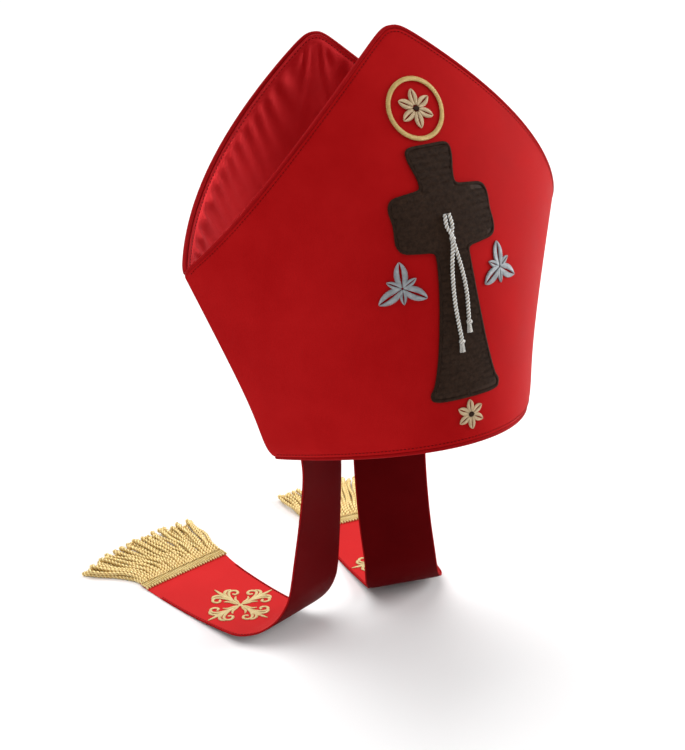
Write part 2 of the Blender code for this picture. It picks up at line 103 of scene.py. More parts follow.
def spline(column: Sequence[float], places: Grid) -> Grid:
    """Reads a smooth curve through a column of numbers.

    Args:
        column: The numbers, one for each row.
        places: Where to read it, counted in rows.

    Returns:
        The values at those places.
    """
    values = np.asarray(column, dtype=float)
    last = len(values) - 1
    i = np.minimum(places.astype(int), last - 1)
    t = places - i
    a, b = values[i], values[i + 1]
    before = np.where(i > 0, values[np.maximum(i - 1, 0)], a - (b - a))
    after = np.where(i + 2 <= last, values[np.minimum(i + 2, last)], b + (b - a))
    start, end = (b - before) / 2, (after - a) / 2
    return (a * (2 * t ** 3 - 3 * t * t + 1) + start * (t ** 3 - 2 * t * t + t)
            + b * (3 * t * t - 2 * t ** 3) + end * (t ** 3 - t * t))


def smooth_path(points: Sequence[Sequence[float]], steps: int) -> Grid:
    """Runs a smooth line through a few points, each any number of values.

    Args:
        points: The points it passes through.
        steps: How many stretches the whole line is divided into.

    Returns:
        One row for each point of the line.
    """
    places = np.linspace(0, len(points) - 1, steps + 1)
    return np.stack([spline(column, places) for column in np.asarray(points, dtype=float).T], axis=-1)


def add_mesh(name: str, points: Grid, faces: Sequence[Sequence[int]], materials: Sequence[bpy.types.Material],
             slots: Optional[Sequence[int]] = None, uv: Optional[Grid] = None,
             sharp_angle: float = 60) -> bpy.types.Object:
    """Makes one object from points and faces, with its normals turned outwards.

    Args:
        name: The piece's name.
        points: Its points, one row each.
        faces: Its faces as tuples of point numbers.
        materials: Its finishes.
        slots: Which finish each face has.
        uv: A pair of cloth coordinates in metres for each point.
        sharp_angle: Edges bent by more degrees than this stay sharp.

    Returns:
        The new object, at the origin.
    """
    mesh = bpy.data.meshes.new(name)
    mesh.from_pydata(points.tolist(), [], [tuple(face) for face in faces])
    for material in materials:
        mesh.materials.append(material)
    if slots is not None:
        mesh.polygons.foreach_set("material_index", slots)
    if uv is not None:
        layer = mesh.uv_layers.new(name="UVMap")
        corners = np.zeros(len(mesh.loops), dtype=np.int32)
        mesh.loops.foreach_get("vertex_index", corners)
        layer.data.foreach_set("uv", uv[corners].ravel())
    body = bmesh.new()
    body.from_mesh(mesh)
    bmesh.ops.recalc_face_normals(body, faces=body.faces)
    body.to_mesh(mesh)
    body.free()
    mesh.shade_smooth()
    mesh.set_sharp_from_angle(angle=math.radians(sharp_angle))
    made = bpy.data.objects.new(name, mesh)
    bpy.context.scene.collection.objects.link(made)
    return made


def shell_faces(rows: int, columns: int) -> tuple[list[tuple[int, ...]], list[int]]:
    """Lists the faces of a closed wall: an outer grid, an inner grid and the rim between them.

    Args:
        rows: Rows of each grid.
        columns: Columns of each grid.

    Returns:
        The faces, and for each face 0 for outer and rim or 1 for inner.
    """
    count = rows * columns
    faces, slots = [], []
    for r in range(rows - 1):
        for c in range(columns - 1):
            a = r * columns + c
            quad = (a, a + 1, a + columns + 1, a + columns)
            faces += [quad, tuple(count + i for i in reversed(quad))]
            slots += [0, 1]
    rim = [c for c in range(columns)]
    rim += [r * columns + columns - 1 for r in range(1, rows)]
    rim += [(rows - 1) * columns + c for c in range(columns - 2, -1, -1)]
    rim += [r * columns for r in range(rows - 2, 0, -1)]
    for a, b in zip(rim, rim[1:] + rim[:1]):
        faces.append((b, a, count + a, count + b))
        slots.append(0)
    return faces, slots


def add_shell(name: str, outer: Grid, inner: Grid, materials: Sequence[bpy.types.Material],
              uv: Optional[Grid] = None, sharp_angle: float = 60) -> bpy.types.Object:
    """Makes a closed wall from its outer and inner grids, which have a finish each."""
    rows, columns = outer.shape[:2]
    faces, slots = shell_faces(rows, columns)
    points = np.concatenate([outer.reshape(-1, 3), inner.reshape(-1, 3)])
    both = None if uv is None else np.concatenate([uv.reshape(-1, 2), uv.reshape(-1, 2)])
    slots = slots if len(materials) > 1 else None
    return add_mesh(name, points, faces, materials, slots, both, sharp_angle)


def path_mesh(paths: Sequence[Grid], closed: bool = False,
              values: Optional[dict[str, Sequence[Grid]]] = None) -> bpy.types.Object:
    """Makes an object of bare edges for a Geometry Nodes tree to follow.

    Args:
        paths: Each path's points.
        closed: Whether each path ends where it starts.
        values: Named numbers or vectors for each point of each path.

    Returns:
        The object with its point attributes.
    """
    mesh = bpy.data.meshes.new("path")
    edges, first = [], 0
    for path in paths:
        count = len(path)
        edges += [(first + i, first + i + 1) for i in range(count - 1)]
        if closed:
            edges.append((first + count - 1, first))
        first += count
    mesh.from_pydata(np.concatenate(paths).tolist(), edges, [])
    for name, columns in (values or {}).items():
        data = np.concatenate([np.asarray(column, dtype=float) for column in columns])
        kind = "FLOAT" if data.ndim == 1 else "FLOAT_VECTOR"
        attribute = mesh.attributes.new(name, kind, "POINT")
        attribute.data.foreach_set("value" if data.ndim == 1 else "vector", data.ravel())
    made = bpy.data.objects.new("path", mesh)
    bpy.context.scene.collection.objects.link(made)
    return made


class NodeMaker:
    """Adds nodes to one tree and feeds their inputs."""

    def __init__(self, tree: bpy.types.NodeTree) -> None:
        """Takes the tree to work in."""
        self.tree = tree

    def feed(self, target: bpy.types.NodeSocket, value: object) -> None:
        """Links a socket to an input, or sets the input's value; a colour gets its alpha."""
        if isinstance(value, bpy.types.NodeSocket):
            self.tree.links.new(value, target)
        elif isinstance(value, tuple) and len(value) == 3 and target.type == "RGBA":
            target.default_value = (*value, 1.0)
        else:
            target.default_value = value

    def node(self, kind: str, settings: Optional[dict] = None, **inputs: object) -> bpy.types.Node:
        """Adds a node.

        Args:
            kind: The node's type name.
            settings: Properties of the node, such as its mode.
            **inputs: Values or sockets for its inputs, with _ for a space in their names.

        Returns:
            The node.
        """
        made = self.tree.nodes.new(kind)
        for key, value in (settings or {}).items():
            setattr(made, key, value)
        for key, value in inputs.items():
            self.feed(made.inputs[key.replace("_", " ")], value)
        return made

    def operate(self, kind: str, operation: str, values: Sequence[object]) -> bpy.types.NodeSocket:
        """Adds a node that does one operation on its inputs in order, and gives its result."""
        made = self.node(kind, {"operation": operation})
        for target, value in zip(made.inputs, values):
            self.feed(target, value)
        return made.outputs[0]

    def math(self, operation: str, *values: object) -> bpy.types.NodeSocket:
        """Adds a Math node and gives its result."""
        return self.operate("ShaderNodeMath", operation, values)


class TreeMaker(NodeMaker):
    """Builds one Geometry Nodes tree with named inputs, ending in a mesh with its finish set."""

    def __init__(self, name: str) -> None:
        """Starts the tree with its geometry sockets and its finish."""
        super().__init__(bpy.data.node_groups.new(name, "GeometryNodeTree"))
        self.entry = self.tree.nodes.new("NodeGroupInput")
        self.socket("Geometry", "NodeSocketGeometry")
        self.socket("Finish", "NodeSocketMaterial")

    def socket(self, name: str, kind: str = "NodeSocketFloat") -> bpy.types.NodeSocket:
        """Adds a named input and gives the socket that carries it."""
        self.tree.interface.new_socket(name, in_out="INPUT", socket_type=kind)
        return self.entry.outputs[name]

    def vector(self, operation: str, *values: object) -> bpy.types.NodeSocket:
        """Adds a Vector Math node and gives its result."""
        return self.operate("ShaderNodeVectorMath", operation, values)

    def combine(self, x: object, y: object, z: object) -> bpy.types.NodeSocket:
        """Joins three numbers into a vector."""
        return self.node("ShaderNodeCombineXYZ", X=x, Y=y, Z=z).outputs[0]

    def attribute(self, name: str, kind: str = "FLOAT") -> bpy.types.NodeSocket:
        """Reads a named point attribute."""
        return self.node("GeometryNodeInputNamedAttribute", {"data_type": kind}, Name=name).outputs[0]

    def curve(self) -> bpy.types.NodeSocket:
        """Turns the incoming edges into curves."""
        return self.node("GeometryNodeMeshToCurve", Mesh=self.entry.outputs["Geometry"]).outputs[0]

    def close(self, geometry: bpy.types.NodeSocket) -> bpy.types.GeometryNodeTree:
        """Ends the tree: instances made real, smooth, with the finish set."""
        real = self.node("GeometryNodeRealizeInstances", Geometry=geometry).outputs[0]
        smooth = self.node("GeometryNodeSetShadeSmooth", Geometry=real).outputs[0]
        done = self.node("GeometryNodeSetMaterial", Geometry=smooth, Material=self.entry.outputs["Finish"])
        self.tree.interface.new_socket("Geometry", in_out="OUTPUT", socket_type="NodeSocketGeometry")
        out = self.tree.nodes.new("NodeGroupOutput")
        self.tree.links.new(done.outputs[0], out.inputs[0])
        return self.tree


class Trees:
    """The Geometry Nodes trees that the pieces share."""

    def __init__(self) -> None:
        """Builds every tree once."""
        self.running = self.running_stitch()
        self.cord = self.twisted_cord()
        self.satin = self.satin_stitch()

    @staticmethod
    def running_stitch() -> bpy.types.GeometryNodeTree:
        """A row of short rounded stitches along a line."""
        maker = TreeMaker("RunningStitch")
        pitch, length = maker.socket("Pitch"), maker.socket("Stitch Length")
        width = maker.socket("Thread Width")
        points = maker.node("GeometryNodeCurveToPoints", {"mode": "LENGTH"}, Curve=maker.curve(),
                            Length=pitch)
        bead = maker.node("GeometryNodeMeshUVSphere", Segments=6, Rings=4, Radius=0.5)
        placed = maker.node("GeometryNodeInstanceOnPoints", Points=points.outputs["Points"],
                            Instance=bead.outputs[0], Rotation=points.outputs["Rotation"],
                            Scale=maker.combine(width, width, length))
        return maker.close(placed.outputs[0])

    @staticmethod
    def twisted_cord() -> bpy.types.GeometryNodeTree:
        """A cord of twisted strands along a line; its attributes are thickness and phase."""
        maker = TreeMaker("TwistedCord")
        radius, strands, pitch = maker.socket("Radius"), maker.socket("Strands"), maker.socket("Pitch")
        depth, step = maker.socket("Groove Depth"), maker.socket("Step")
        sides = maker.socket("Sides", "NodeSocketInt")
        line = maker.node("GeometryNodeResampleCurve", {"mode": "LENGTH"}, Curve=maker.curve(), Length=step)
        along = maker.node("GeometryNodeSplineParameter").outputs["Length"]
        turns = maker.math("MULTIPLY", maker.math("DIVIDE", along, pitch), TAU)
        tilt = maker.math("ADD", turns, maker.attribute("phase"))
        twisted = maker.node("GeometryNodeSetCurveTilt", Curve=line.outputs[0], Tilt=tilt)
        circle = maker.node("GeometryNodeCurvePrimitiveCircle", {"mode": "RADIUS"}, Resolution=sides,
                            Radius=1.0)
        spot = maker.node("GeometryNodeInputPosition").outputs[0]
        parts = maker.node("ShaderNodeSeparateXYZ", Vector=spot)
        angle = maker.math("ARCTAN2", parts.outputs["Y"], parts.outputs["X"])
        lobe = maker.math("MULTIPLY", angle, maker.math("MULTIPLY", strands, 0.5))
        hollow = maker.math("SUBTRACT", 1.0, maker.math("ABSOLUTE", maker.math("COSINE", lobe)))
        share = maker.math("SUBTRACT", 1.0, maker.math("MULTIPLY", depth, hollow))
        # The hollow between strands is stored as groove, which the thread finishes darken as painted shade.
        marked = maker.node("GeometryNodeStoreNamedAttribute", {"data_type": "FLOAT", "domain": "POINT"},
                            Geometry=circle.outputs[0], Name="groove", Value=hollow)
        scaled = maker.node("ShaderNodeVectorMath", {"operation": "SCALE"}, Vector=spot, Scale=share)
        lobed = maker.node("GeometryNodeSetPosition", Geometry=marked.outputs[0], Position=scaled.outputs[0])
        size = maker.math("MULTIPLY", radius, maker.attribute("thickness"))
        tube = maker.node("GeometryNodeCurveToMesh", Curve=twisted.outputs[0], Scale=size, Fill_Caps=True)
        maker.feed(tube.inputs["Profile Curve"], lobed.outputs[0])
        return maker.close(tube.outputs[0])

    @staticmethod
    def satin_stitch() -> bpy.types.GeometryNodeTree:
        """Threads laid side by side across a line; its attributes are cloth_up and half_width."""
        maker = TreeMaker("SatinStitch")
        spacing, width, rise = maker.socket("Spacing"), maker.socket("Thread Width"), maker.socket("Rise")
        slant, uneven = maker.socket("Slant"), maker.socket("Unevenness")
        seed = maker.socket("Seed", "NodeSocketInt")
        points = maker.node("GeometryNodeCurveToPoints", {"mode": "LENGTH"}, Curve=maker.curve(),
                            Length=spacing)
        upward = maker.vector("NORMALIZE", maker.attribute("cloth_up", "FLOAT_VECTOR"))
        across = maker.vector("CROSS_PRODUCT", upward, points.outputs["Tangent"])
        chance = maker.node("FunctionNodeRandomValue", {"data_type": "FLOAT"}, Seed=seed)
        # The node's number sockets come after its vector sockets, which share their names
        for socket, limit in zip(chance.inputs[2:4], (-1.0, 1.0)):
            maker.feed(socket, limit)
        wobble = maker.math("MULTIPLY", chance.outputs[1], uneven)
        turned = maker.node("ShaderNodeVectorRotate", {"rotation_type": "AXIS_ANGLE"}, Vector=across,
                            Axis=upward, Angle=maker.math("ADD", slant, wobble))
        heading = maker.node("FunctionNodeAxesToRotation", {"primary_axis": "Z", "secondary_axis": "Y"},
                             Primary_Axis=upward, Secondary_Axis=turned.outputs[0])
        reach = maker.math("MULTIPLY", maker.attribute("half_width"), 2.0)
        bead = maker.node("GeometryNodeMeshUVSphere", Segments=6, Rings=5, Radius=0.5)
        lying = maker.node("GeometryNodeTransform", Geometry=bead.outputs[0])
        lying.inputs["Rotation"].default_value = (math.pi / 2, 0, 0)
        placed = maker.node("GeometryNodeInstanceOnPoints", Points=points.outputs["Points"],
                            Instance=lying.outputs[0], Rotation=heading.outputs[0],
                            Scale=maker.combine(width, reach, rise))
        return maker.close(placed.outputs[0])


def grow(name: str, path: bpy.types.Object, tree: bpy.types.GeometryNodeTree, material: bpy.types.Material,
         **sizes: float) -> bpy.types.Object:
    """Runs a tree along a path and keeps the result as a plain mesh.

    Args:
        name: The new piece's name.
        path: The object of bare edges, which is used up.
        tree: The tree to run.
        material: The finish.
        **sizes: Values of the tree's named inputs, with _ for a space.

    Returns:
        The new object.
    """
    modifier = path.modifiers.new(tree.name, "NODES")
    modifier.node_group = tree
    values = {key.replace("_", " "): value for key, value in sizes.items()}
    values["Finish"] = material
    for item in tree.interface.items_tree:
        if item.item_type == "SOCKET" and item.in_out == "INPUT" and item.name in values:
            modifier[item.identifier] = values[item.name]
    shaped = path.evaluated_get(bpy.context.evaluated_depsgraph_get())
    mesh = bpy.data.meshes.new_from_object(shaped)
    mesh.name = name
    path.modifiers.remove(modifier)
    bpy.data.objects.remove(path, do_unlink=True)
    made = bpy.data.objects.new(name, mesh)
    bpy.context.scene.collection.objects.link(made)
    return made


def join(name: str, objects: Sequence[bpy.types.Object]) -> bpy.types.Object:
    """Joins objects into the first one, under a new name."""
    with bpy.context.temp_override(active_object=objects[0], selected_editable_objects=list(objects)):
        bpy.ops.object.join()
    objects[0].name = name
    objects[0].data.name = name
    return objects[0]


class ShaderMaker(NodeMaker):
    """Adds nodes to one material or one shader node group."""

    def group(self, tree: bpy.types.NodeTree, **inputs: object) -> bpy.types.Node:
        """Places a shared group with its own values."""
        return self.node("ShaderNodeGroup", {"node_tree": tree}, **inputs)


def new_group(name: str, inputs: dict[str, str], outputs: dict[str, str]) -> tuple:
    """Starts a shader node group.

    Args:
        name: Its name.
        inputs: Socket types by input name.
        outputs: Socket types by output name.

    Returns:
        The maker for its nodes, its input node and its output node.
    """
    tree = bpy.data.node_groups.new(name, "ShaderNodeTree")
    for key, kind in inputs.items():
        tree.interface.new_socket(key, in_out="INPUT", socket_type=kind)
    for key, kind in outputs.items():
        tree.interface.new_socket(key, in_out="OUTPUT", socket_type=kind)
    return ShaderMaker(tree), tree.nodes.new("NodeGroupInput"), tree.nodes.new("NodeGroupOutput")


class Effects:
    """Shader node groups that several finishes share."""

    def __init__(self) -> None:
        """Builds every group once."""
        self.twill = self.weave("TwillWeave", 3.0, 0.6)
        self.satin = self.weave("SatinWeave", 8.0, 0.25)
        self.drift = self.tone_drift()
        self.grain = self.thread_grain()

    @staticmethod
    def weave(name: str, run: float, ridge: float) -> bpy.types.NodeTree:
        """Crossing threads with slanting ridges.

        Args:
            name: The group's name.
            run: How many threads a ridge repeats over.
            ridge: How strong the ridges are against the single threads, from 0 to 1.

        Returns:
            The group, whose output is a height from 0 to 1.
        """
        maker, entry, out = new_group(name, {"Vector": "NodeSocketVector", "Threads": "NodeSocketFloat"},
                                      {"Height": "NodeSocketFloat"})
        parts = maker.node("ShaderNodeSeparateXYZ", Vector=entry.outputs["Vector"])
        warp = maker.math("MULTIPLY", parts.outputs["X"], entry.outputs["Threads"])
        weft = maker.math("MULTIPLY", parts.outputs["Y"], entry.outputs["Threads"])
        slope = maker.math("SINE", maker.math("MULTIPLY", maker.math("ADD", warp, weft), TAU / run))
        single = maker.math("MULTIPLY", maker.math("SINE", maker.math("MULTIPLY", warp, TAU)),
                            maker.math("SINE", maker.math("MULTIPLY", weft, TAU)))
        height = maker.math("ADD", maker.math("MULTIPLY", slope, ridge / 2),
                            maker.math("MULTIPLY", single, (1 - ridge) / 2))
        maker.feed(out.inputs["Height"], maker.math("ADD", height, 0.5))
        return maker.tree

    @staticmethod
    def tone_drift() -> bpy.types.NodeTree:
        """A colour that drifts softly between two tones over the surface."""
        maker, entry, out = new_group(
            "ToneDrift",
            {"Vector": "NodeSocketVector", "Scale": "NodeSocketFloat", "Low": "NodeSocketColor",
             "High": "NodeSocketColor"},
            {"Colour": "NodeSocketColor", "Mask": "NodeSocketFloat"})
        noise = maker.node("ShaderNodeTexNoise", Vector=entry.outputs["Vector"],
                           Scale=entry.outputs["Scale"], Detail=4.0, Roughness=0.6)
        ramp = maker.node("ShaderNodeMapRange", Value=noise.outputs[0])
        ramp.inputs["From Min"].default_value = 0.3
        ramp.inputs["From Max"].default_value = 0.7
        mix = maker.node("ShaderNodeMix", {"data_type": "RGBA"}, Factor=ramp.outputs[0])
        maker.feed(mix.inputs[6], entry.outputs["Low"])
        maker.feed(mix.inputs[7], entry.outputs["High"])
        maker.feed(out.inputs["Colour"], mix.outputs[2])
        maker.feed(out.inputs["Mask"], ramp.outputs[0])
        return maker.tree

    @staticmethod
    def thread_grain() -> bpy.types.NodeTree:
        """Fine filaments of a thread, stretched along one axis of the pattern."""
        maker, entry, out = new_group(
            "ThreadGrain",
            {"Vector": "NodeSocketVector", "Fineness": "NodeSocketFloat"},
            {"Height": "NodeSocketFloat"})
        squeeze = maker.node("ShaderNodeVectorMath", {"operation": "MULTIPLY"})
        maker.feed(squeeze.inputs[0], entry.outputs["Vector"])
        squeeze.inputs[1].default_value = (1.0, 1.0, 0.08)
        noise = maker.node("ShaderNodeTexNoise", Vector=squeeze.outputs[0],
                           Scale=entry.outputs["Fineness"], Detail=3.0, Roughness=0.55)
        maker.feed(out.inputs["Height"], noise.outputs[0])
        return maker.tree


class MaterialMaker(ShaderMaker):
    """Starts one material whose colour drifts between two tones."""

    def __init__(self, name: str, effects: Effects, scale: float, low: Colour, high: Colour) -> None:
        """Makes the material, its coordinates and its drifting tone."""
        self.material = bpy.data.materials.new(name)
        self.material.use_nodes = True
        super().__init__(self.material.node_tree)
        self.shader = self.tree.nodes["Principled BSDF"]
        self.spot = self.node("ShaderNodeTexCoord")
        self.drift = self.group(effects.drift, Vector=self.spot.outputs["Object"], Scale=scale, Low=low,
                                High=high)

    def shade(self, **inputs: object) -> bpy.types.Material:
        """Sets the shader's inputs, with _ for a space in their names, and gives the material."""
        for key, value in inputs.items():
            self.feed(self.shader.inputs[key.replace("_", " ")], value)
        return self.material

    def bump(self, height: bpy.types.NodeSocket, depth: float, **inputs: object) -> bpy.types.NodeSocket:
        """Adds a bump of a depth in metres and gives its normal."""
        return self.node("ShaderNodeBump", Height=height, Distance=depth, Strength=1.0, **inputs).outputs[0]


@dataclass(frozen=True)
class ClothFinish:
    """A woven cloth, with its weave, soft unevenness and sheen."""

    name: str
    low: Colour
    high: Colour
    weave: Weave
    roughness: float
    sheen: float
    threads: float = 2800.0
    weave_depth: float = 0.04 * MM
    uneven_depth: float = 0.5 * MM
    uneven_scale: float = 22.0
    specular: float = 0.15
    anisotropy: float = 0.0
    metallic: float = 0.0
    sheen_tint: Colour = (1.0, 0.10, 0.10)
    specular_tint: Colour = (1.0, 0.30, 0.30)
    roughness_spread: float = 0.08

    def build(self, effects: Effects) -> bpy.types.Material:
        """Makes the material from the shared effects."""
        maker = MaterialMaker(self.name, effects, self.uneven_scale, self.low, self.high)
        rough = maker.node("ShaderNodeMapRange", Value=maker.drift.outputs["Mask"])
        rough.inputs["To Min"].default_value = self.roughness * (1 - self.roughness_spread)
        rough.inputs["To Max"].default_value = self.roughness * (1 + self.roughness_spread)
        tree = effects.twill if self.weave is Weave.TWILL else effects.satin
        weave = maker.group(tree, Vector=maker.spot.outputs["UV"], Threads=self.threads)
        fine = maker.bump(weave.outputs["Height"], self.weave_depth)
        soft = maker.node("ShaderNodeTexNoise", Vector=maker.spot.outputs["Object"],
                          Scale=self.uneven_scale, Detail=1.0)
        broad = maker.bump(soft.outputs[0], self.uneven_depth, Normal=fine)
        return maker.shade(Base_Color=maker.drift.outputs["Colour"], Roughness=rough.outputs[0],
                           Normal=broad, Sheen_Weight=self.sheen, Sheen_Roughness=0.4,
                           Sheen_Tint=self.sheen_tint, Specular_IOR_Level=self.specular,
                           Specular_Tint=self.specular_tint, Anisotropic=self.anisotropy,
                           Metallic=self.metallic)


@dataclass(frozen=True)
class ThreadFinish:
    """Embroidery or cord thread, with filaments, small changes of tone and painted shade in a twisted cord's
    hollows.
    """

    name: str
    low: Colour
    high: Colour
    roughness: float
    metallic: float = 0.0
    grain_depth: float = 0.012 * MM
    grain_fineness: float = 2600.0
    tone_scale: float = 260.0
    specular: float = 0.4
    # Painted shade: how far the colour darkens towards the dark brown below in a cord's hollows.
    groove_shade: float = 0.0
    groove_shade_colour: Colour = (0.42, 0.27, 0.12)

    def build(self, effects: Effects) -> bpy.types.Material:
        """Makes the material from the shared effects."""
        maker = MaterialMaker(self.name, effects, self.tone_scale, self.low, self.high)
        # Painted shade: where the cord's profile is hollow, the colour is multiplied towards a dark brown.
        groove = maker.node("ShaderNodeAttribute", {"attribute_name": "groove"}).outputs["Fac"]
        shaded_in_hollows = maker.node("ShaderNodeMix", {"data_type": "RGBA", "blend_type": "MULTIPLY"},
                          Factor=maker.math("MULTIPLY", groove, self.groove_shade))
        maker.feed(shaded_in_hollows.inputs[6], maker.drift.outputs["Colour"])
        maker.feed(shaded_in_hollows.inputs[7], self.groove_shade_colour)
        grain = maker.group(effects.grain, Vector=maker.spot.outputs["Object"],
                            Fineness=self.grain_fineness)
        return maker.shade(Base_Color=shaded_in_hollows.outputs[2], Roughness=self.roughness, Metallic=self.metallic,
                           Normal=maker.bump(grain.outputs["Height"], self.grain_depth),
                           Specular_IOR_Level=self.specular)


@dataclass(frozen=True)
class FloorFinish:
    """A plain pale studio floor with a faint mottle."""

    name: str = "studio_floor"
    low: Colour = (0.875, 0.875, 0.875)
    high: Colour = (0.89, 0.89, 0.89)

    def build(self, effects: Effects) -> bpy.types.Material:
        """Makes the material."""
        maker = MaterialMaker(self.name, effects, 3.0, self.low, self.high)
        return maker.shade(Base_Color=maker.drift.outputs["Colour"], Roughness=0.9,
                           Specular_IOR_Level=0.1)


class Finishes:
    """Every material of the hat, built once."""

    def __init__(self) -> None:
        """Builds the shared effects and the materials."""
        effects = Effects()
        self.twill = ClothFinish("horn_twill", (0.35, 0.004, 0.005), (0.41, 0.007, 0.008), Weave.TWILL,
                                 0.6, 0.10, uneven_depth=0.35 * MM, specular=0.03,
                                 weave_depth=0.06 * MM).build(effects)
        # The lappet face is a brighter red than the horns' twill; part of that is painted light from above on
        # the face that lies up.
        self.lit_lappet_face = ClothFinish("lappet_twill", (0.50, 0.015, 0.016), (0.55, 0.019, 0.020),
                                       Weave.TWILL, 0.5, 0.08, specular=0.08).build(effects)
        self.satin = ClothFinish("fold_satin", (0.43, 0.005, 0.008), (0.49, 0.008, 0.012), Weave.SATIN,
                                 0.33, 0.65, threads=4500.0, uneven_depth=0.6 * MM, specular=0.3,
                                 anisotropy=0.3, metallic=0.4, sheen_tint=(1.0, 0.22, 0.25)).build(effects)
        # The lappet lining's very dark red is partly painted shadow, standing in for the shade on the hanging
        # part.
        self.lappet_lining = ClothFinish("lappet_lining", (0.085, 0.001, 0.002), (0.105, 0.002, 0.003),
                                         Weave.SATIN, 0.5, 0.0, threads=4500.0, specular=0.02).build(effects)
        self.band_lining = ClothFinish("band_lining", (0.30, 0.003, 0.006), (0.34, 0.005, 0.008),
                                       Weave.SATIN, 0.45, 0.1, threads=4000.0, specular=0.05).build(effects)
        self.cord_satin = ThreadFinish("edge_cord_satin", (0.27, 0.003, 0.004), (0.32, 0.004, 0.006), 0.6,
                                       tone_scale=120.0, specular=0.03).build(effects)
        self.red_thread = ThreadFinish("red_sewing_thread", (0.09, 0.001, 0.002), (0.13, 0.002, 0.003),
                                       0.5, specular=0.03).build(effects)
        # The fringe gold is darkened in its cords' hollows: painted shade.
        self.gold = ThreadFinish("gold_thread", (0.86, 0.65, 0.25), (0.97, 0.80, 0.39), 0.32,
                                 metallic=0.35, groove_shade=0.85).build(effects)
        # The braid's gold is the fringe's gold thread made darker; the darkening is painted shade between its
        # threads.
        self.braid_gold = ThreadFinish("braid_gold", (0.60, 0.45, 0.17), (0.70, 0.57, 0.27), 0.34,
                                       metallic=0.35).build(effects)
        self.gold_silk = ThreadFinish("gold_silk", (0.58, 0.47, 0.20), (0.71, 0.60, 0.31), 0.42,
                                      metallic=0.15).build(effects)
        self.halo_gold = ThreadFinish("ring_gold", (0.50, 0.34, 0.11), (0.64, 0.46, 0.17), 0.42,
                                      metallic=0.15).build(effects)
        self.brown = ThreadFinish("brown_thread", (0.020, 0.010, 0.006), (0.044, 0.023, 0.014), 0.6,
                                  tone_scale=420.0, specular=0.08).build(effects)
        self.silver = ThreadFinish("silver_thread", (0.24, 0.26, 0.28), (0.42, 0.44, 0.46), 0.38,
                                   metallic=0.3).build(effects)
        # The silver cords are darkened in their hollows: painted shade.
        self.silver_cord = ThreadFinish("silver_cord", (0.60, 0.61, 0.61), (0.78, 0.78, 0.76), 0.4,
                                        metallic=0.1, groove_shade=0.9).build(effects)
        self.cream = ThreadFinish("cream_thread", (0.50, 0.36, 0.21), (0.64, 0.48, 0.29), 0.5).build(effects)
        self.floor = FloorFinish().build(effects)


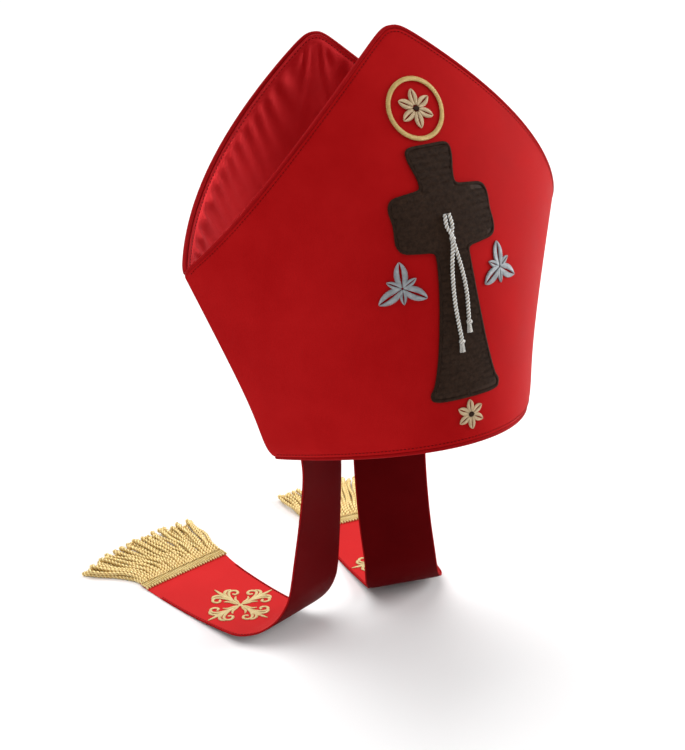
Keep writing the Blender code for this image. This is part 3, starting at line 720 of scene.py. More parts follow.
@dataclass(frozen=True)
class HatForm:
    """The hat's surfaces, with the sizes and formulas of the construction model."""

    base_half_width: float = 99.2 * MM
    base_half_depth: float = 96.4 * MM
    base_arch: float = 4.0 * MM
    shoulder_height: float = 143.2 * MM
    shoulder_half_width: float = 148.3 * MM
    shoulder_half_depth: float = 103.0 * MM
    peak_height: float = 288.0 * MM
    peak_half_depth: float = 55.2 * MM
    peak_rounding: float = 8.0 * MM
    edge_bulge: float = 8.3 * MM
    horn_fullness: float = 12.5 * MM
    shoulder_blend: float = 6.0 * MM
    hem_fullness: float = 12.0 * MM
    hem_full_to: float = 20.0 * MM
    hem_full_from: float = 7.0 * MM
    section_power: float = 0.94
    rounding_power: float = 2.6
    tilt: float = math.radians(16.5)
    panel_thickness: float = 2.5 * MM
    lining_thickness: float = 1.0 * MM
    piping_diameter: float = 3.0 * MM
    gap: float = 0.3 * MM
    corner_ratio: float = 1.2
    fold_corner_depth: float = 7.0 * MM
    fold_depth: float = 22.0 * MM
    fold_radius: float = 12.0 * MM
    fold_sag: float = 4.0 * MM
    seam: float = 0.15 * MM

    def worn(self, x: Grid, y: Grid, height: Grid) -> Grid:
        """Turns points of the upright hat into the leaning one."""
        c, s = math.cos(self.tilt), math.sin(self.tilt)
        x, y, height = np.broadcast_arrays(np.asarray(x, dtype=float), y, height)
        return np.stack([x, y * c + height * s, -y * s + height * c], axis=-1)

    def section_width(self, height: Grid) -> Grid:
        """Half width of the lens-shaped section at a height."""
        low = np.maximum(height, 0)
        share = np.asarray(height) / self.shoulder_height
        hem = np.exp(-low / self.hem_full_to) - np.exp(-low / self.hem_full_from)
        straight = self.base_half_width + (self.shoulder_half_width - self.base_half_width) * share
        up = np.clip((height - self.shoulder_height) / (self.peak_height - self.shoulder_height), 0, 1)
        above = self.shoulder_half_width + self.horn_fullness * (1 - (1 - up) ** 3)
        return np.where(height < self.shoulder_height, straight + self.hem_fullness * hem, above)

    def section_depth(self, height: Grid) -> Grid:
        """Half depth of the section at a height."""
        rise = np.asarray(height) / self.shoulder_height
        low = self.base_half_depth + (self.shoulder_half_depth - self.base_half_depth) * rise
        slope = ((self.peak_half_depth - self.shoulder_half_depth)
                 / (self.peak_height - self.shoulder_height))
        high = self.shoulder_half_depth + slope * (height - self.shoulder_height)
        excess = np.abs(low - high) / self.shoulder_blend
        return np.minimum(low, high) - self.shoulder_blend * np.log1p(np.exp(-excess))

    def column_reach(self, height: Grid) -> Grid:
        """Half width that the panel's columns spread over at a height."""
        return np.where(height < self.shoulder_height, self.section_width(height), self.shoulder_half_width)

    def wall_point(self, side: Side, x: Grid, height: Grid, inset: Grid = 0.0) -> Grid:
        """Points of the front or back wall, inset from its outer face."""
        height = np.asarray(height, dtype=float)
        ratio = np.minimum(np.abs(x) / (self.section_width(height) - self.corner_ratio * inset), 1)
        depth = self.section_depth(height) - inset - self.seam
        y = side.value * (self.seam + depth * (1 - ratio ** 2) ** self.section_power)
        return self.worn(x, y, height)

    def edge_height(self, x: Grid) -> Grid:
        """Height of the horn's outline above x."""
        power = self.rounding_power
        goal = (np.abs(x) ** power + self.peak_rounding ** power) ** (1 / power)
        low, high = np.zeros_like(goal), np.ones_like(goal)
        for _ in range(BISECTIONS):
            middle = (low + high) / 2
            reach = self.shoulder_half_width * (1 - middle) + self.edge_bulge * np.sin(math.pi * middle)
            low, high = np.where(reach > goal, middle, low), np.where(reach > goal, high, middle)
        return self.shoulder_height + (self.peak_height - self.shoulder_height) * low

    def edge_slope(self, u: Grid) -> Grid:
        """How steeply the horn's outline falls in column u."""
        inner, outer = np.maximum(np.abs(u) - 0.01, 0), np.minimum(np.abs(u) + 0.01, 1)
        width = self.shoulder_half_width
        rise = self.edge_height(inner * width) - self.edge_height(outer * width)
        return rise / ((outer - inner) * width)

    def panel_top(self, u: Grid, below: float = 0.0) -> Grid:
        """Height of the panel's cut edge in column u, or of a line a distance below it."""
        u = np.asarray(u, dtype=float)
        drop = (self.piping_diameter + self.gap + below) * np.hypot(1, self.edge_slope(u))
        return self.edge_height(u * self.shoulder_half_width) - drop

    def panel_bottom(self, u: Grid) -> Grid:
        """Height of the panel's lower edge in column u."""
        return self.base_arch * (1 - np.asarray(u) ** 2) + self.piping_diameter + self.gap

    def panel_point(self, side: Side, u: Grid, height: Grid, inset: Grid = 0.0) -> Grid:
        """Points in column u of a panel, from -1 to 1 between the side seams."""
        x = (self.column_reach(height) - self.corner_ratio * inset) * u
        return self.wall_point(side, x, height, inset)

    def fold_height(self, u: Grid) -> Grid:
        """Height of the lining's fold in column u."""
        return self.shoulder_height - self.fold_corner_depth - self.fold_depth * (1 - u * u)

    def seated_on_edge(self, side: Side, u: Grid, height: Callable[[Grid], Grid], away: int) -> Grid:
        """Where a cord lies along a panel's cut edge, just beyond it."""
        step, middle = 0.004, self.panel_thickness / 2
        high, low = np.minimum(u + step, 1), np.maximum(u - step, -1)
        here = self.panel_point(side, u, height(u), middle)
        tangent = unit(self.panel_point(side, high, height(high), middle)
                       - self.panel_point(side, low, height(low), middle))
        out = away * (here - self.panel_point(side, u, height(u) - MM, middle))
        out = unit(out - tangent * np.sum(out * tangent, axis=-1, keepdims=True))
        return here + out * (self.piping_diameter / 2 + self.gap)


@dataclass
class Kit:
    """What every sub-assembly works with."""

    form: HatForm
    trees: Trees
    finishes: Finishes

    def ready(self, piece: bpy.types.Object, slot: str, nodes: Sequence[str] = ()) -> bpy.types.Object:
        """Hangs a piece under the root body and hides the construction solids it stands for.

        Args:
            piece: The finished piece.
            slot: Not used.
            nodes: Construction solids that it replaces.

        Returns:
            The piece.
        """
        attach(piece, "root")
        if nodes:
            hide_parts(*nodes)
        piece.data.update()
        LOG.info("%s: %d faces", piece.name, len(piece.data.polygons))
        return piece

    def round_cord(self, name: str, paths: Sequence[Grid], radius: float, material: bpy.types.Material,
                   closed: bool = False, sides: int = 14, step: float = 2 * MM) -> bpy.types.Object:
        """Makes a smooth round cord along each path."""
        flat = [np.ones(len(path)) for path in paths]
        none = [np.zeros(len(path)) for path in paths]
        path = path_mesh(paths, closed, {"thickness": flat, "phase": none})
        return grow(name, path, self.trees.cord, material, Radius=radius, Strands=2.0, Pitch=1.0,
                    Groove_Depth=0.0, Step=step, Sides=sides)

    def twisted_cord(self, name: str, paths: Sequence[Grid], radius: float, pitch: float,
                     material: bpy.types.Material, thickness: Optional[Sequence[Grid]] = None,
                     strands: int = 2, groove: float = 0.42, sides: int = 12,
                     step: float = 0.8 * MM, seed: int = 3) -> bpy.types.Object:
        """Makes a twisted cord along each path, with its turns started at a fixed random place."""
        chance = random.Random(seed)
        flat = thickness or [np.ones(len(path)) for path in paths]
        phase = [np.full(len(path), chance.uniform(0, TAU)) for path in paths]
        path = path_mesh(paths, False, {"thickness": flat, "phase": phase})
        return grow(name, path, self.trees.cord, material, Radius=radius, Strands=float(strands),
                    Pitch=pitch, Groove_Depth=groove, Step=step, Sides=sides)

    def stitches(self, name: str, paths: Sequence[Grid], material: bpy.types.Material,
                 pitch: float = 3.0 * MM, length: float = 2.3 * MM, width: float = 0.5 * MM,
                 closed: bool = False) -> bpy.types.Object:
        """Makes a row of running stitches along each path."""
        return grow(name, path_mesh(paths, closed), self.trees.running, material, Pitch=pitch,
                    Stitch_Length=length, Thread_Width=width)

    def satin(self, name: str, paths: Sequence[Grid], ups: Sequence[Grid], halves: Sequence[Grid],
              material: bpy.types.Material, spacing: float = 0.4 * MM, width: float = 0.55 * MM,
              rise: float = 0.9 * MM, slant: float = 0.0, closed: bool = False,
              seed: int = 5) -> bpy.types.Object:
        """Lays satin stitches across each path, as wide as its half widths say."""
        path = path_mesh(paths, closed, {"cloth_up": ups, "half_width": halves})
        return grow(name, path, self.trees.satin, material, Spacing=spacing, Thread_Width=width, Rise=rise,
                    Slant=slant, Unevenness=0.06, Seed=seed)


@dataclass
class Horn:
    """One stiff horn with its half of the band, and the stitching along its edges."""

    kit: Kit
    side: Side
    columns: int = 144
    rows: int = 96
    edge_roll: float = 1.6 * MM
    roll_depth: float = 0.9 * MM
    hem_stitch_height: float = 1.6 * MM
    edge_stitch_depth: float = 1.3 * MM
    stitch_rise: float = 0.12 * MM
    tuck: float = 0.8 * MM
    inner_roll: float = 0.3

    def heights(self, u: Grid) -> tuple[Grid, Grid]:
        """Spreads rows between the panel's edges, close together where the cloth rolls over them.

        Args:
            u: The columns.

        Returns:
            Heights and extra insets, each rows x columns.
        """
        form = self.kit.form
        low, high = form.panel_bottom(u) - self.tuck, form.panel_top(u, -self.tuck)
        roll = np.array([0.0, 0.25, 0.6, 1.0]) * self.edge_roll
        depth = self.roll_depth * (1 - np.sqrt(1 - (1 - roll / self.edge_roll) ** 2))
        slope = np.hypot(1, form.edge_slope(u))
        levels = [low + step for step in roll]
        insets = [np.full_like(u, inset) for inset in depth]
        start, end = low + self.edge_roll, high - self.edge_roll * slope
        for row in range(1, self.rows):
            levels.append(start + (end - start) * row / self.rows)
            insets.append(np.zeros_like(u))
        for step, inset in zip(roll[::-1], depth[::-1]):
            levels.append(high - step * slope)
            insets.append(np.full_like(u, inset))
        return np.array(levels), np.array(insets)

    def build(self) -> None:
        """Builds the panel and its stitches."""
        form, finishes = replace(self.kit.form, seam=0.0), self.kit.finishes
        u = np.linspace(-1, 1, self.columns + 1)
        levels, insets = self.heights(u)
        outer = form.panel_point(self.side, u, levels, insets)
        inner = form.panel_point(self.side, u, levels, form.panel_thickness - insets * self.inner_roll)
        uv = np.stack([form.column_reach(levels) * u, levels], axis=-1)
        label = self.side.name.lower()
        panel = add_shell(label + "_horn_cloth", outer, inner, [finishes.twill, finishes.band_lining], uv)
        self.kit.ready(panel, "red_fabric", [label + "_panel"])
        lift = -self.stitch_rise
        line = np.linspace(-SEAM_END, SEAM_END, SEAM_POINTS)
        edge = form.panel_point(self.side, line, form.panel_top(line, self.edge_stitch_depth), lift)
        hem = form.panel_point(self.side, line, form.panel_bottom(line) + self.hem_stitch_height, lift)
        rows = self.kit.stitches(label + "_horn_stitches", [edge, hem], finishes.red_thread, pitch=2.6 * MM,
                                 length=1.8 * MM, width=0.55 * MM)
        self.kit.ready(rows, "red_fabric")


@dataclass
class EdgeCords:
    """The satin-covered cords along both horns and round the base."""

    kit: Kit
    points: int = 260
    end_column: float = 0.992
    end_tuck: float = 3.0 * MM
    end_pull: float = 0.02

    def build(self) -> None:
        """Builds the three cords."""
        form, finishes = self.kit.form, self.kit.finishes
        radius = form.piping_diameter / 2
        u = np.linspace(-self.end_column, self.end_column, self.points)
        for side in Side:
            path = form.seated_on_edge(side, u, form.panel_top, 1)
            tucks = [end + form.worn(0, 0, -self.end_tuck) - end * [self.end_pull, 0, 0]
                     for end in path[[0, -1]]]
            path = np.concatenate([[tucks[0]], path, [tucks[1]]])
            label = side.name.lower()
            cord = self.kit.round_cord(label + "_horn_cord", [path], radius, finishes.cord_satin)
            self.kit.ready(cord, "red_piping", ["piping_" + label])
        around = np.linspace(-1, 1, self.points)
        front = form.seated_on_edge(Side.FRONT, around, form.panel_bottom, -1)
        back = form.seated_on_edge(Side.BACK, -around[1:-1], form.panel_bottom, -1)
        base = self.kit.round_cord("base_cord", [np.concatenate([front, back])], radius,
                                   finishes.cord_satin, closed=True)
        self.kit.ready(base, "red_piping", ["piping_base"])


@dataclass
class FoldLining:
    """The satin on the horns' inner faces and in the fold between them, puckered by its seam."""

    kit: Kit
    columns: int = 168
    wall_rows: int = 54
    end_column: float = 0.982
    seam_depth: float = 1.5 * MM
    pucker_height: float = 3.9 * MM
    pucker_spacing: float = 11.5 * MM
    pucker_reach: float = 13.0 * MM
    pucker_lean: float = 0.6
    pucker_level: float = 0.32
    pinch: float = 0.5 * MM
    pinch_reach: float = 1.2 * MM
    drape: float = 1.2 * MM
    ruffle: float = 0.6 * MM
    stitch_lift: float = 0.55 * MM
    ease: float = 0.8 * MM
    tuck: float = 0.9 * MM
    edge_dip: float = 0.5 * MM
    dip_reach: float = 6.5 * MM

    def puckers(self, u: Grid, depth: Grid) -> Grid:
        """How far the satin stands off the horn.

        Args:
            u: Column of each point.
            depth: Distance of each point below the horn's edge.

        Returns:
            The extra inset.
        """
        form = self.kit.form
        below = depth - self.seam_depth - self.tuck
        run = (1 - np.abs(u)) * form.shoulder_half_width * np.hypot(1, form.edge_slope(u))
        wander = np.sin(run * 63.0) + 0.5 * np.sin(run * 131.0 + 1.0)
        lean = self.pucker_lean * form.edge_slope(u)
        phase = TAU * (run - lean * below) / self.pucker_spacing + wander
        ridge = (0.5 + 0.5 * np.sin(phase)) ** 1.4
        fine = 0.2 * (0.5 + 0.5 * np.sin(2.3 * phase + 0.8))
        swell = smooth_step(below, 1 * MM, 9 * MM) * np.exp(-np.maximum(below, 0) / self.pucker_reach)
        strength = 0.78 + 0.22 * np.sin(run * 37.0 + 0.6)
        relief = self.pucker_height * (ridge + fine - self.pucker_level) * swell * strength
        relief += self.drape * smooth_step(below, 10 * MM, 60 * MM)
        return relief - self.pinch * np.exp(-(below / self.pinch_reach) ** 2)

    def section(self, u: float) -> Grid:
        """The lining's middle line in one column: down the front horn, over the fold, up the back."""
        form = self.kit.form
        inset = form.panel_thickness + self.ease + form.lining_thickness / 2
        top = float(form.panel_top(u, -self.tuck))
        fold = form.fold_height(u)
        foot = form.panel_point(Side.BACK, u, fold, inset)
        half = float(np.linalg.norm(foot - form.panel_point(Side.FRONT, u, fold, inset))) / 2
        radius = min(form.fold_radius, half * 0.8, (top - fold) * 0.6)
        slope = float(np.hypot(1, form.edge_slope(np.float64(u))))
        share = np.linspace(0, 1, self.wall_rows + 1) ** 1.25
        levels = top + (fold + radius - top) * share
        fade = 1 - smooth_step(share, 0.82, 1.0)
        relief = self.puckers(np.full_like(levels, u), (top - levels) / slope) * fade
        relief *= smooth_step(np.full_like(levels, 1 - abs(u)), 0.0, 0.05)
        relief -= self.edge_dip * (1 - smooth_step((top - levels) / slope, 0, self.dip_reach))
        x = (float(form.column_reach(fold)) - form.corner_ratio * inset) * u
        turn = np.radians(np.arange(15, 91, 15))
        sag = form.fold_sag * min(half / form.base_half_depth, 1.0)
        across = np.linspace(-1, 1, 19)[1:-1]
        front = form.panel_point(Side.FRONT, u, levels, inset + relief)
        bend = fold + radius * (1 - np.sin(turn))
        down = form.worn(x, -half + radius * (1 - np.cos(turn)), bend)
        ruffle = self.ruffle * np.sin(across * 9 + u * 23) * (1 - across ** 2)
        floor = form.worn(x, across * (half - radius), fold - sag * (1 - np.abs(across)) + ruffle)
        rise = form.worn(x, half - radius * (1 - np.cos(turn)), bend)[::-1]
        back = form.panel_point(Side.BACK, u, levels, inset + relief)[::-1]
        return np.concatenate([front, down, floor, rise, back])

    def build(self) -> None:
        """Builds the satin and its seam stitches."""
        form, finishes = self.kit.form, self.kit.finishes
        turn = np.linspace(-math.pi / 2, math.pi / 2, self.columns + 1)
        u = self.end_column * (0.55 * np.sin(turn) + 0.45 * turn / (math.pi / 2))
        grid = np.array([self.section(float(column)) for column in u])
        half = grid_normals(grid) * form.lining_thickness / 2
        run = np.concatenate([np.zeros((len(u), 1)),
                              np.cumsum(np.linalg.norm(np.diff(grid, axis=1), axis=2), axis=1)], axis=1)
        uv = np.stack([np.broadcast_to(u[:, None] * form.shoulder_half_width, run.shape), run], axis=-1)
        piece = add_shell("crown_satin", grid + half, grid - half, [finishes.satin], uv)
        self.kit.ready(piece, "red_satin", ["crown_lining"])
        line = np.linspace(-SEAM_END, SEAM_END, SEAM_POINTS)
        dip = self.edge_dip * (1 - float(smooth_step(self.seam_depth + self.tuck, 0, self.dip_reach)))
        inset = form.panel_thickness + self.ease + form.lining_thickness - dip - self.stitch_lift
        level = form.panel_top(line, self.seam_depth)
        rows = [form.panel_point(side, line, level, inset) for side in Side]
        seam = self.kit.stitches("crown_seam_stitches", rows, finishes.red_thread, pitch=2.9 * MM,
                                 length=1.7 * MM, width=0.95 * MM)
        self.kit.ready(seam, "red_satin")


@dataclass
class Lappet:
    """One lappet: a lined strip that hangs, bends and lies, with braid, bullion fringe and a cross."""

    kit: Kit
    hand: Hand
    splay: float
    run: float
    angle: float
    columns: int = 28
    steps: int = 140
    table_drop: float = 200.5 * MM
    thickness: float = 1.5 * MM
    top_width: float = 55.0 * MM
    end_width: float = 79.0 * MM
    flare_power: float = 2.2
    parting: float = 21.0 * MM
    sewn_height: float = 14.0 * MM
    braid_width: float = 11.0 * MM
    fringe_length: float = 52.0 * MM
    fan_outer: float = math.radians(40)
    fan_inner: float = math.radians(13)
    strands: int = 29
    cross_set_back: float = 69.0 * MM
    cross_lift: float = 0.30 * MM
    cross_scale: tuple[float, float, float] = (1.06, 1.06, 1.2)
    line_points: int = 60
    edge_cord_radius: float = 0.65 * MM
    edge_cord_inset: float = 0.5 * MM
    edge_cord_lift: float = 0.15 * MM
    seam_inset: float = 1.7 * MM
    seam_sink: float = 0.03 * MM
    strand_radius: float = 1.65 * MM
    strand_pitch: float = 6.6 * MM
    strand_start: float = 8.2 * MM
    layer_rests: tuple[float, ...] = (1.0, 2.75)
    layer_starts: tuple[float, ...] = (0.45, 0.85)
    strand_jitter: float = math.radians(4.5)
    longer_middle: float = 0.10
    # Rows in mm: place, half width, slant in radians, pitch, height and the share of the pitch filled
    braid_rows: tuple[tuple[float, ...], ...] = (
        (4.9, 4.4, 0.15, 0.9, 0.5, 1.20),
        (4.8, 3.5, 0.15, 1.8, 1.0, 0.62),
        (0.1, 1.6, 0.00, 2.5, 1.0, 0.72),
        (8.7, 1.1, -0.45, 1.5, 1.3, 0.72),
    )
    # Rows of shares: out, back, drop, turn and the rim's bow that is left
    fall: tuple[tuple[float, ...], ...] = (
        (0.000, 0.000, 0.000, 0.00, 1.00),
        (-0.040, -0.020, 0.130, 0.03, 0.75),
        (-0.055, -0.020, 0.250, 0.08, 0.50),
        (-0.005, -0.030, 0.435, 0.22, 0.22),
        (0.060, -0.045, 0.600, 0.38, 0.08),
        (0.135, -0.068, 0.758, 0.50, 0.00),
        (0.190, -0.062, 0.828, 0.56, 0.00),
        (0.275, -0.035, 0.892, 0.62, 0.00),
        (0.400, 0.005, 0.937, 0.70, 0.00),
        (0.520, 0.060, 0.958, 0.78, 0.00),
        (0.610, 0.140, 0.970, 0.85, 0.00),
        (0.705, 0.330, 0.985, 0.94, 0.00),
        (0.805, 0.545, 0.996, 1.00, 0.00),
        (0.920, 0.800, 1.000, 1.00, 0.00),
        (1.000, 1.000, 1.000, 1.00, 0.00),
    )
    surface: Grid = field(init=False)
    normals: Grid = field(init=False)

    def __post_init__(self) -> None:
        """Lays out the middle surface and its upward normals."""
        self.label = self.hand.name.lower()
        side = self.hand.value
        self.across = np.array([-side * math.cos(self.angle), math.sin(self.angle), 0.0])
        self.along = np.array([side * math.sin(self.angle), math.cos(self.angle), 0.0])
        self.surface = self.middle_surface()
        normals = grid_normals(self.surface)
        self.normals = normals if normals[-1, 0, 2] > 0 else -normals

    def middle_surface(self) -> Grid:
        """The strip's middle surface, from its sewn end to its fringed end."""
        form = self.kit.form
        inset = (form.panel_thickness + form.piping_diameter) / 2 + form.gap + self.thickness / 2
        inner = self.parting / 2
        low, high = inner, form.base_half_width * 0.98
        start = form.wall_point(Side.BACK, inner, 0.0, inset)
        for _ in range(BISECTIONS):
            outer = (low + high) / 2
            chord = np.linalg.norm(form.wall_point(Side.BACK, outer, 0.0, inset) - start)
            low, high = (outer, high) if chord < self.top_width else (low, outer)
        shares = np.linspace(0, 1, self.columns + 1)
        places = self.hand.value * (outer + (inner - outer) * shares)
        rows = [form.wall_point(Side.BACK, places, level, inset)
                for level in np.linspace(self.sewn_height, 0, 8)[:-1]]
        rim = form.wall_point(Side.BACK, places, 0.0, inset)
        chord = rim[0] + (rim[-1] - rim[0]) * shares[:, None]
        rim_across = unit((rim[-1] - rim[0]) * np.array([1, 1, 0]))
        ground = -self.table_drop + self.thickness / 2
        at = np.linspace(0, len(self.fall) - 1, self.steps + 1)
        table = np.stack([spline(column, at) for column in np.array(self.fall).T], axis=-1)
        for share, (out, back, drop, turn, bow) in zip(at / at[-1], table):
            width = self.top_width + (self.end_width - self.top_width) * share ** self.flare_power
            heading = unit(rim_across * (1 - turn) + self.across * turn)
            corner = rim[0] + np.array([self.hand.value * self.splay * out, self.run * back, 0.0])
            line = corner + heading * width * shares[:, None] + (rim - chord) * bow
            line[:, 2] = rim[:, 2] + (ground - rim[:, 2]) * min(drop, 1.0)
            rows.append(line)
        rows += [rows[-1] + self.along * self.braid_width * share for share in (0.25, 0.5, 0.75, 1.0)]
        return np.array(rows)

    def build_strip(self) -> None:
        """Builds the cloth with its rolled edges, its edge cords and its stitches."""
        finishes = self.kit.finishes
        shares = np.linspace(-1, 1, self.columns + 1)
        round_off = np.sqrt(np.clip(1 - np.abs(shares) ** 14, 0.08, 1))[:, None]
        half = self.normals * self.thickness / 2 * round_off
        run = path_lengths(self.surface[:, self.columns // 2])
        width = np.linalg.norm(self.surface[:, -1] - self.surface[:, 0], axis=-1)
        uv = np.stack([width[:, None] * shares / 2, np.broadcast_to(run[:, None], self.surface.shape[:2])],
                      axis=-1)
        # The face's brighter red is partly painted light from above; the lining's very dark red is partly
        # painted shadow.
        strip = add_shell("lappet_cloth_" + self.label, self.surface + half, self.surface - half,
                          [finishes.lit_lappet_face, finishes.lappet_lining], uv)
        self.kit.ready(strip, "red_fabric", ["lappet_" + self.label])
        self.strip = strip
        self.length = float(run[-1])
        # The last rows lie under the braid
        end = 12
        edges, seams = [], []
        for edge, inward in ((0, 1), (-1, -1)):
            inner = unit(self.surface[:-end, edge + inward] - self.surface[:-end, edge])
            up = self.normals[:-end, edge]
            side = self.surface[:-end, edge]
            edges.append(side + inner * self.edge_cord_inset + up * self.edge_cord_lift)
            seams.append(side + inner * self.seam_inset + up * (self.thickness / 2 - self.seam_sink))
        cords = self.kit.round_cord("lappet_edge_cords_" + self.label, edges, self.edge_cord_radius,
                                    finishes.cord_satin, sides=8)
        self.kit.ready(cords, "red_piping")
        seam = self.kit.stitches("lappet_stitches_" + self.label, seams, finishes.red_thread,
                                 pitch=2.6 * MM, length=2.1 * MM, width=0.42 * MM)
        self.kit.ready(seam, "red_fabric")

    def build_braid(self) -> bpy.types.Object:
        """Builds the braid heading: cross ribs on a backing, a scalloped edge and a roll."""
        start = self.surface[-1, 0] - self.along * self.braid_width
        rows, parts = np.linspace(0, 1, self.line_points)[:, None] * self.end_width, []
        for spot, half, slant, pitch, lift, share in self.braid_rows:
            height = self.thickness / 2 + lift * MM
            line = start + self.across * rows + self.along * spot * MM + UP * height
            parts.append(self.kit.satin("braid_row", [line], [np.tile(UP, (self.line_points, 1))],
                                        [np.full(self.line_points, half * MM)],
                                        self.kit.finishes.braid_gold, spacing=pitch * MM,
                                        width=pitch * share * MM, rise=min(2.6, pitch + 0.4) * MM,
                                        slant=slant))
        return join("braid_" + self.label, parts)

    def build_fringe(self) -> bpy.types.Object:
        """Builds two layers of bullion strands that fan out from the braid and lie on the table."""
        start = self.surface[-1, 0] - self.along * self.braid_width
        chance = random.Random(11 if self.hand is Hand.LEFT else 12)
        radius = self.strand_radius
        floor = -self.table_drop - start[2]
        paths, thickness = [], []
        reach = np.linspace(0, 1, self.line_points)
        settle = smooth_step(reach, 0.0, 0.3)
        for layer, (rest, first) in enumerate(zip(self.layer_rests, self.layer_starts)):
            for strand in range(self.strands):
                share = (strand + 0.5 + 0.5 * layer) / (self.strands + 0.5)
                share += chance.uniform(-0.006, 0.006)
                fan = self.fan_outer - (self.fan_outer + self.fan_inner) * share
                fan += chance.uniform(-self.strand_jitter, self.strand_jitter)
                length = self.fringe_length * (1 + chance.uniform(-0.07, 0.05) - 0.02 * layer)
                length *= 1 + self.longer_middle * math.sin(math.pi * min(max(share, 0.0), 1.0) ** 0.7)
                bend = chance.uniform(-0.10, 0.10)
                wave, phase = chance.uniform(0.4, 1.2) * MM, chance.uniform(0, TAU)
                lean = fan * settle + bend * (reach - 0.3)
                step = length / (len(reach) - 1)
                heading = (self.along * np.cos(lean)[:, None] - self.across * np.sin(lean)[:, None]) * step
                walk = np.concatenate([np.zeros((1, 3)), np.cumsum(heading[:-1], axis=0)])
                side = self.across * (wave * np.sin(reach * 9 + phase) * settle)[:, None]
                high = self.thickness / 2 + radius * first
                lift = high + (floor + radius * rest - high) * settle
                lift += 0.35 * MM * layer * np.sin(reach * 11 + phase) * settle
                lift = np.maximum(lift, floor + radius)
                origin = start + self.across * share * self.end_width + self.along * self.strand_start
                paths.append(origin + walk + side + UP * lift[:, None])
                tip = np.clip((1 - reach) / 0.03, 0, 1)
                swell = 0.5 + 0.5 * np.sqrt(tip) + 0.4 * np.exp(-((reach - 0.955) / 0.035) ** 2)
                thickness.append(swell * (0.5 + 0.5 * smooth_step(reach, 0.0, 0.07)))
        return self.kit.twisted_cord("fringe_strands_" + self.label, paths, radius, self.strand_pitch,
                                     self.kit.finishes.gold, thickness=thickness, groove=0.48, sides=14,
                                     step=0.75 * MM)

    def place(self, set_back: float, across: float, lift: float) -> tuple[Grid, Grid]:
        """Finds a point over the strip.

        Args:
            set_back: Distance back from its end along the middle.
            across: Distance off its middle.
            lift: Height over its face.

        Returns:
            The point and the cloth's upward normal there.
        """
        middle = self.columns // 2
        line = self.surface[::-1, middle]
        lengths = path_lengths(line)
        row = float(np.interp(set_back, lengths, np.arange(len(line))))
        i = min(int(row), len(line) - 2)
        t = row - i
        edge, normals = self.surface[::-1], self.normals[::-1]
        here = edge[i] * (1 - t) + edge[i + 1] * t
        up = unit(normals[i, middle] * (1 - t) + normals[i + 1, middle] * t)
        return here[middle] + unit(here[-1] - here[0]) * across + up * (self.thickness / 2 + lift), up

    def build_cross(self) -> bpy.types.Object:
        """Builds the gold cross of four leaf scrolls, in satin stitch."""
        # Each stroke holds points of distance along the arm, off it, and half width, in millimetres
        strokes = [
            [(0.0, 0.0, 1.5), (2.6, 0.0, 0.9), (5.0, 0.0, 0.9), (9.0, 0.0, 1.3), (14.0, 0.0, 1.8),
             (19.0, 0.0, 1.7), (23.0, 0.0, 1.35), (27.0, 0.0, 1.0), (30.0, 0.0, 0.4)],
            [(9.0, 0.6, 0.7), (13.0, 1.4, 1.0), (16.8, 2.9, 1.1), (19.9, 5.2, 1.1), (20.9, 7.9, 1.1),
             (19.6, 10.3, 1.1), (17.0, 11.0, 1.1), (14.7, 9.3, 1.1), (14.8, 7.0, 1.0), (16.6, 6.2, 0.9)],
            [(15.0, 0.6, 0.8), (19.5, 1.4, 1.2), (22.4, 3.4, 1.25), (23.3, 6.2, 1.15), (22.0, 9.0, 0.7)],
            [(2.6, 0.9, 0.5), (5.5, 1.8, 0.95), (8.6, 2.4, 1.0), (10.6, 3.8, 0.85), (11.9, 5.6, 0.4)],
        ]
        paths, ups, halves = [], [], []
        for quarter in range(4):
            c, s = math.cos(quarter * math.pi / 2), math.sin(quarter * math.pi / 2)
            for number, stroke in enumerate(strokes):
                for flip in ((1,) if number == 0 else (1, -1)):
                    line = smooth_path(stroke, 36) * MM * self.cross_scale
                    spots, normals = [], []
                    for x, y in line[:, :2] * [1, flip]:
                        spot, up = self.place(self.cross_set_back + self.braid_width + x * c - y * s,
                                              x * s + y * c, self.cross_lift)
                        spots.append(spot)
                        normals.append(up)
                    paths.append(np.array(spots))
                    ups.append(np.array(normals))
                    halves.append(np.maximum(line[:, 2], 0.2 * MM))
        return self.kit.satin("scroll_cross_threads_" + self.label, paths, ups, halves,
                              self.kit.finishes.gold_silk, spacing=0.42 * MM, width=0.6 * MM, rise=1.0 * MM,
                              slant=0.35)

    def build(self) -> None:
        """Builds the whole lappet and declares its cloth."""
        self.build_strip()
        fringe = join("fringe_" + self.label + "_bullion", [self.build_fringe(), self.build_braid()])
        self.kit.ready(fringe, "gold_thread", ["fringe_" + self.label])
        cross = self.kit.ready(self.build_cross(), "gold_thread", ["scroll_cross_" + self.label])


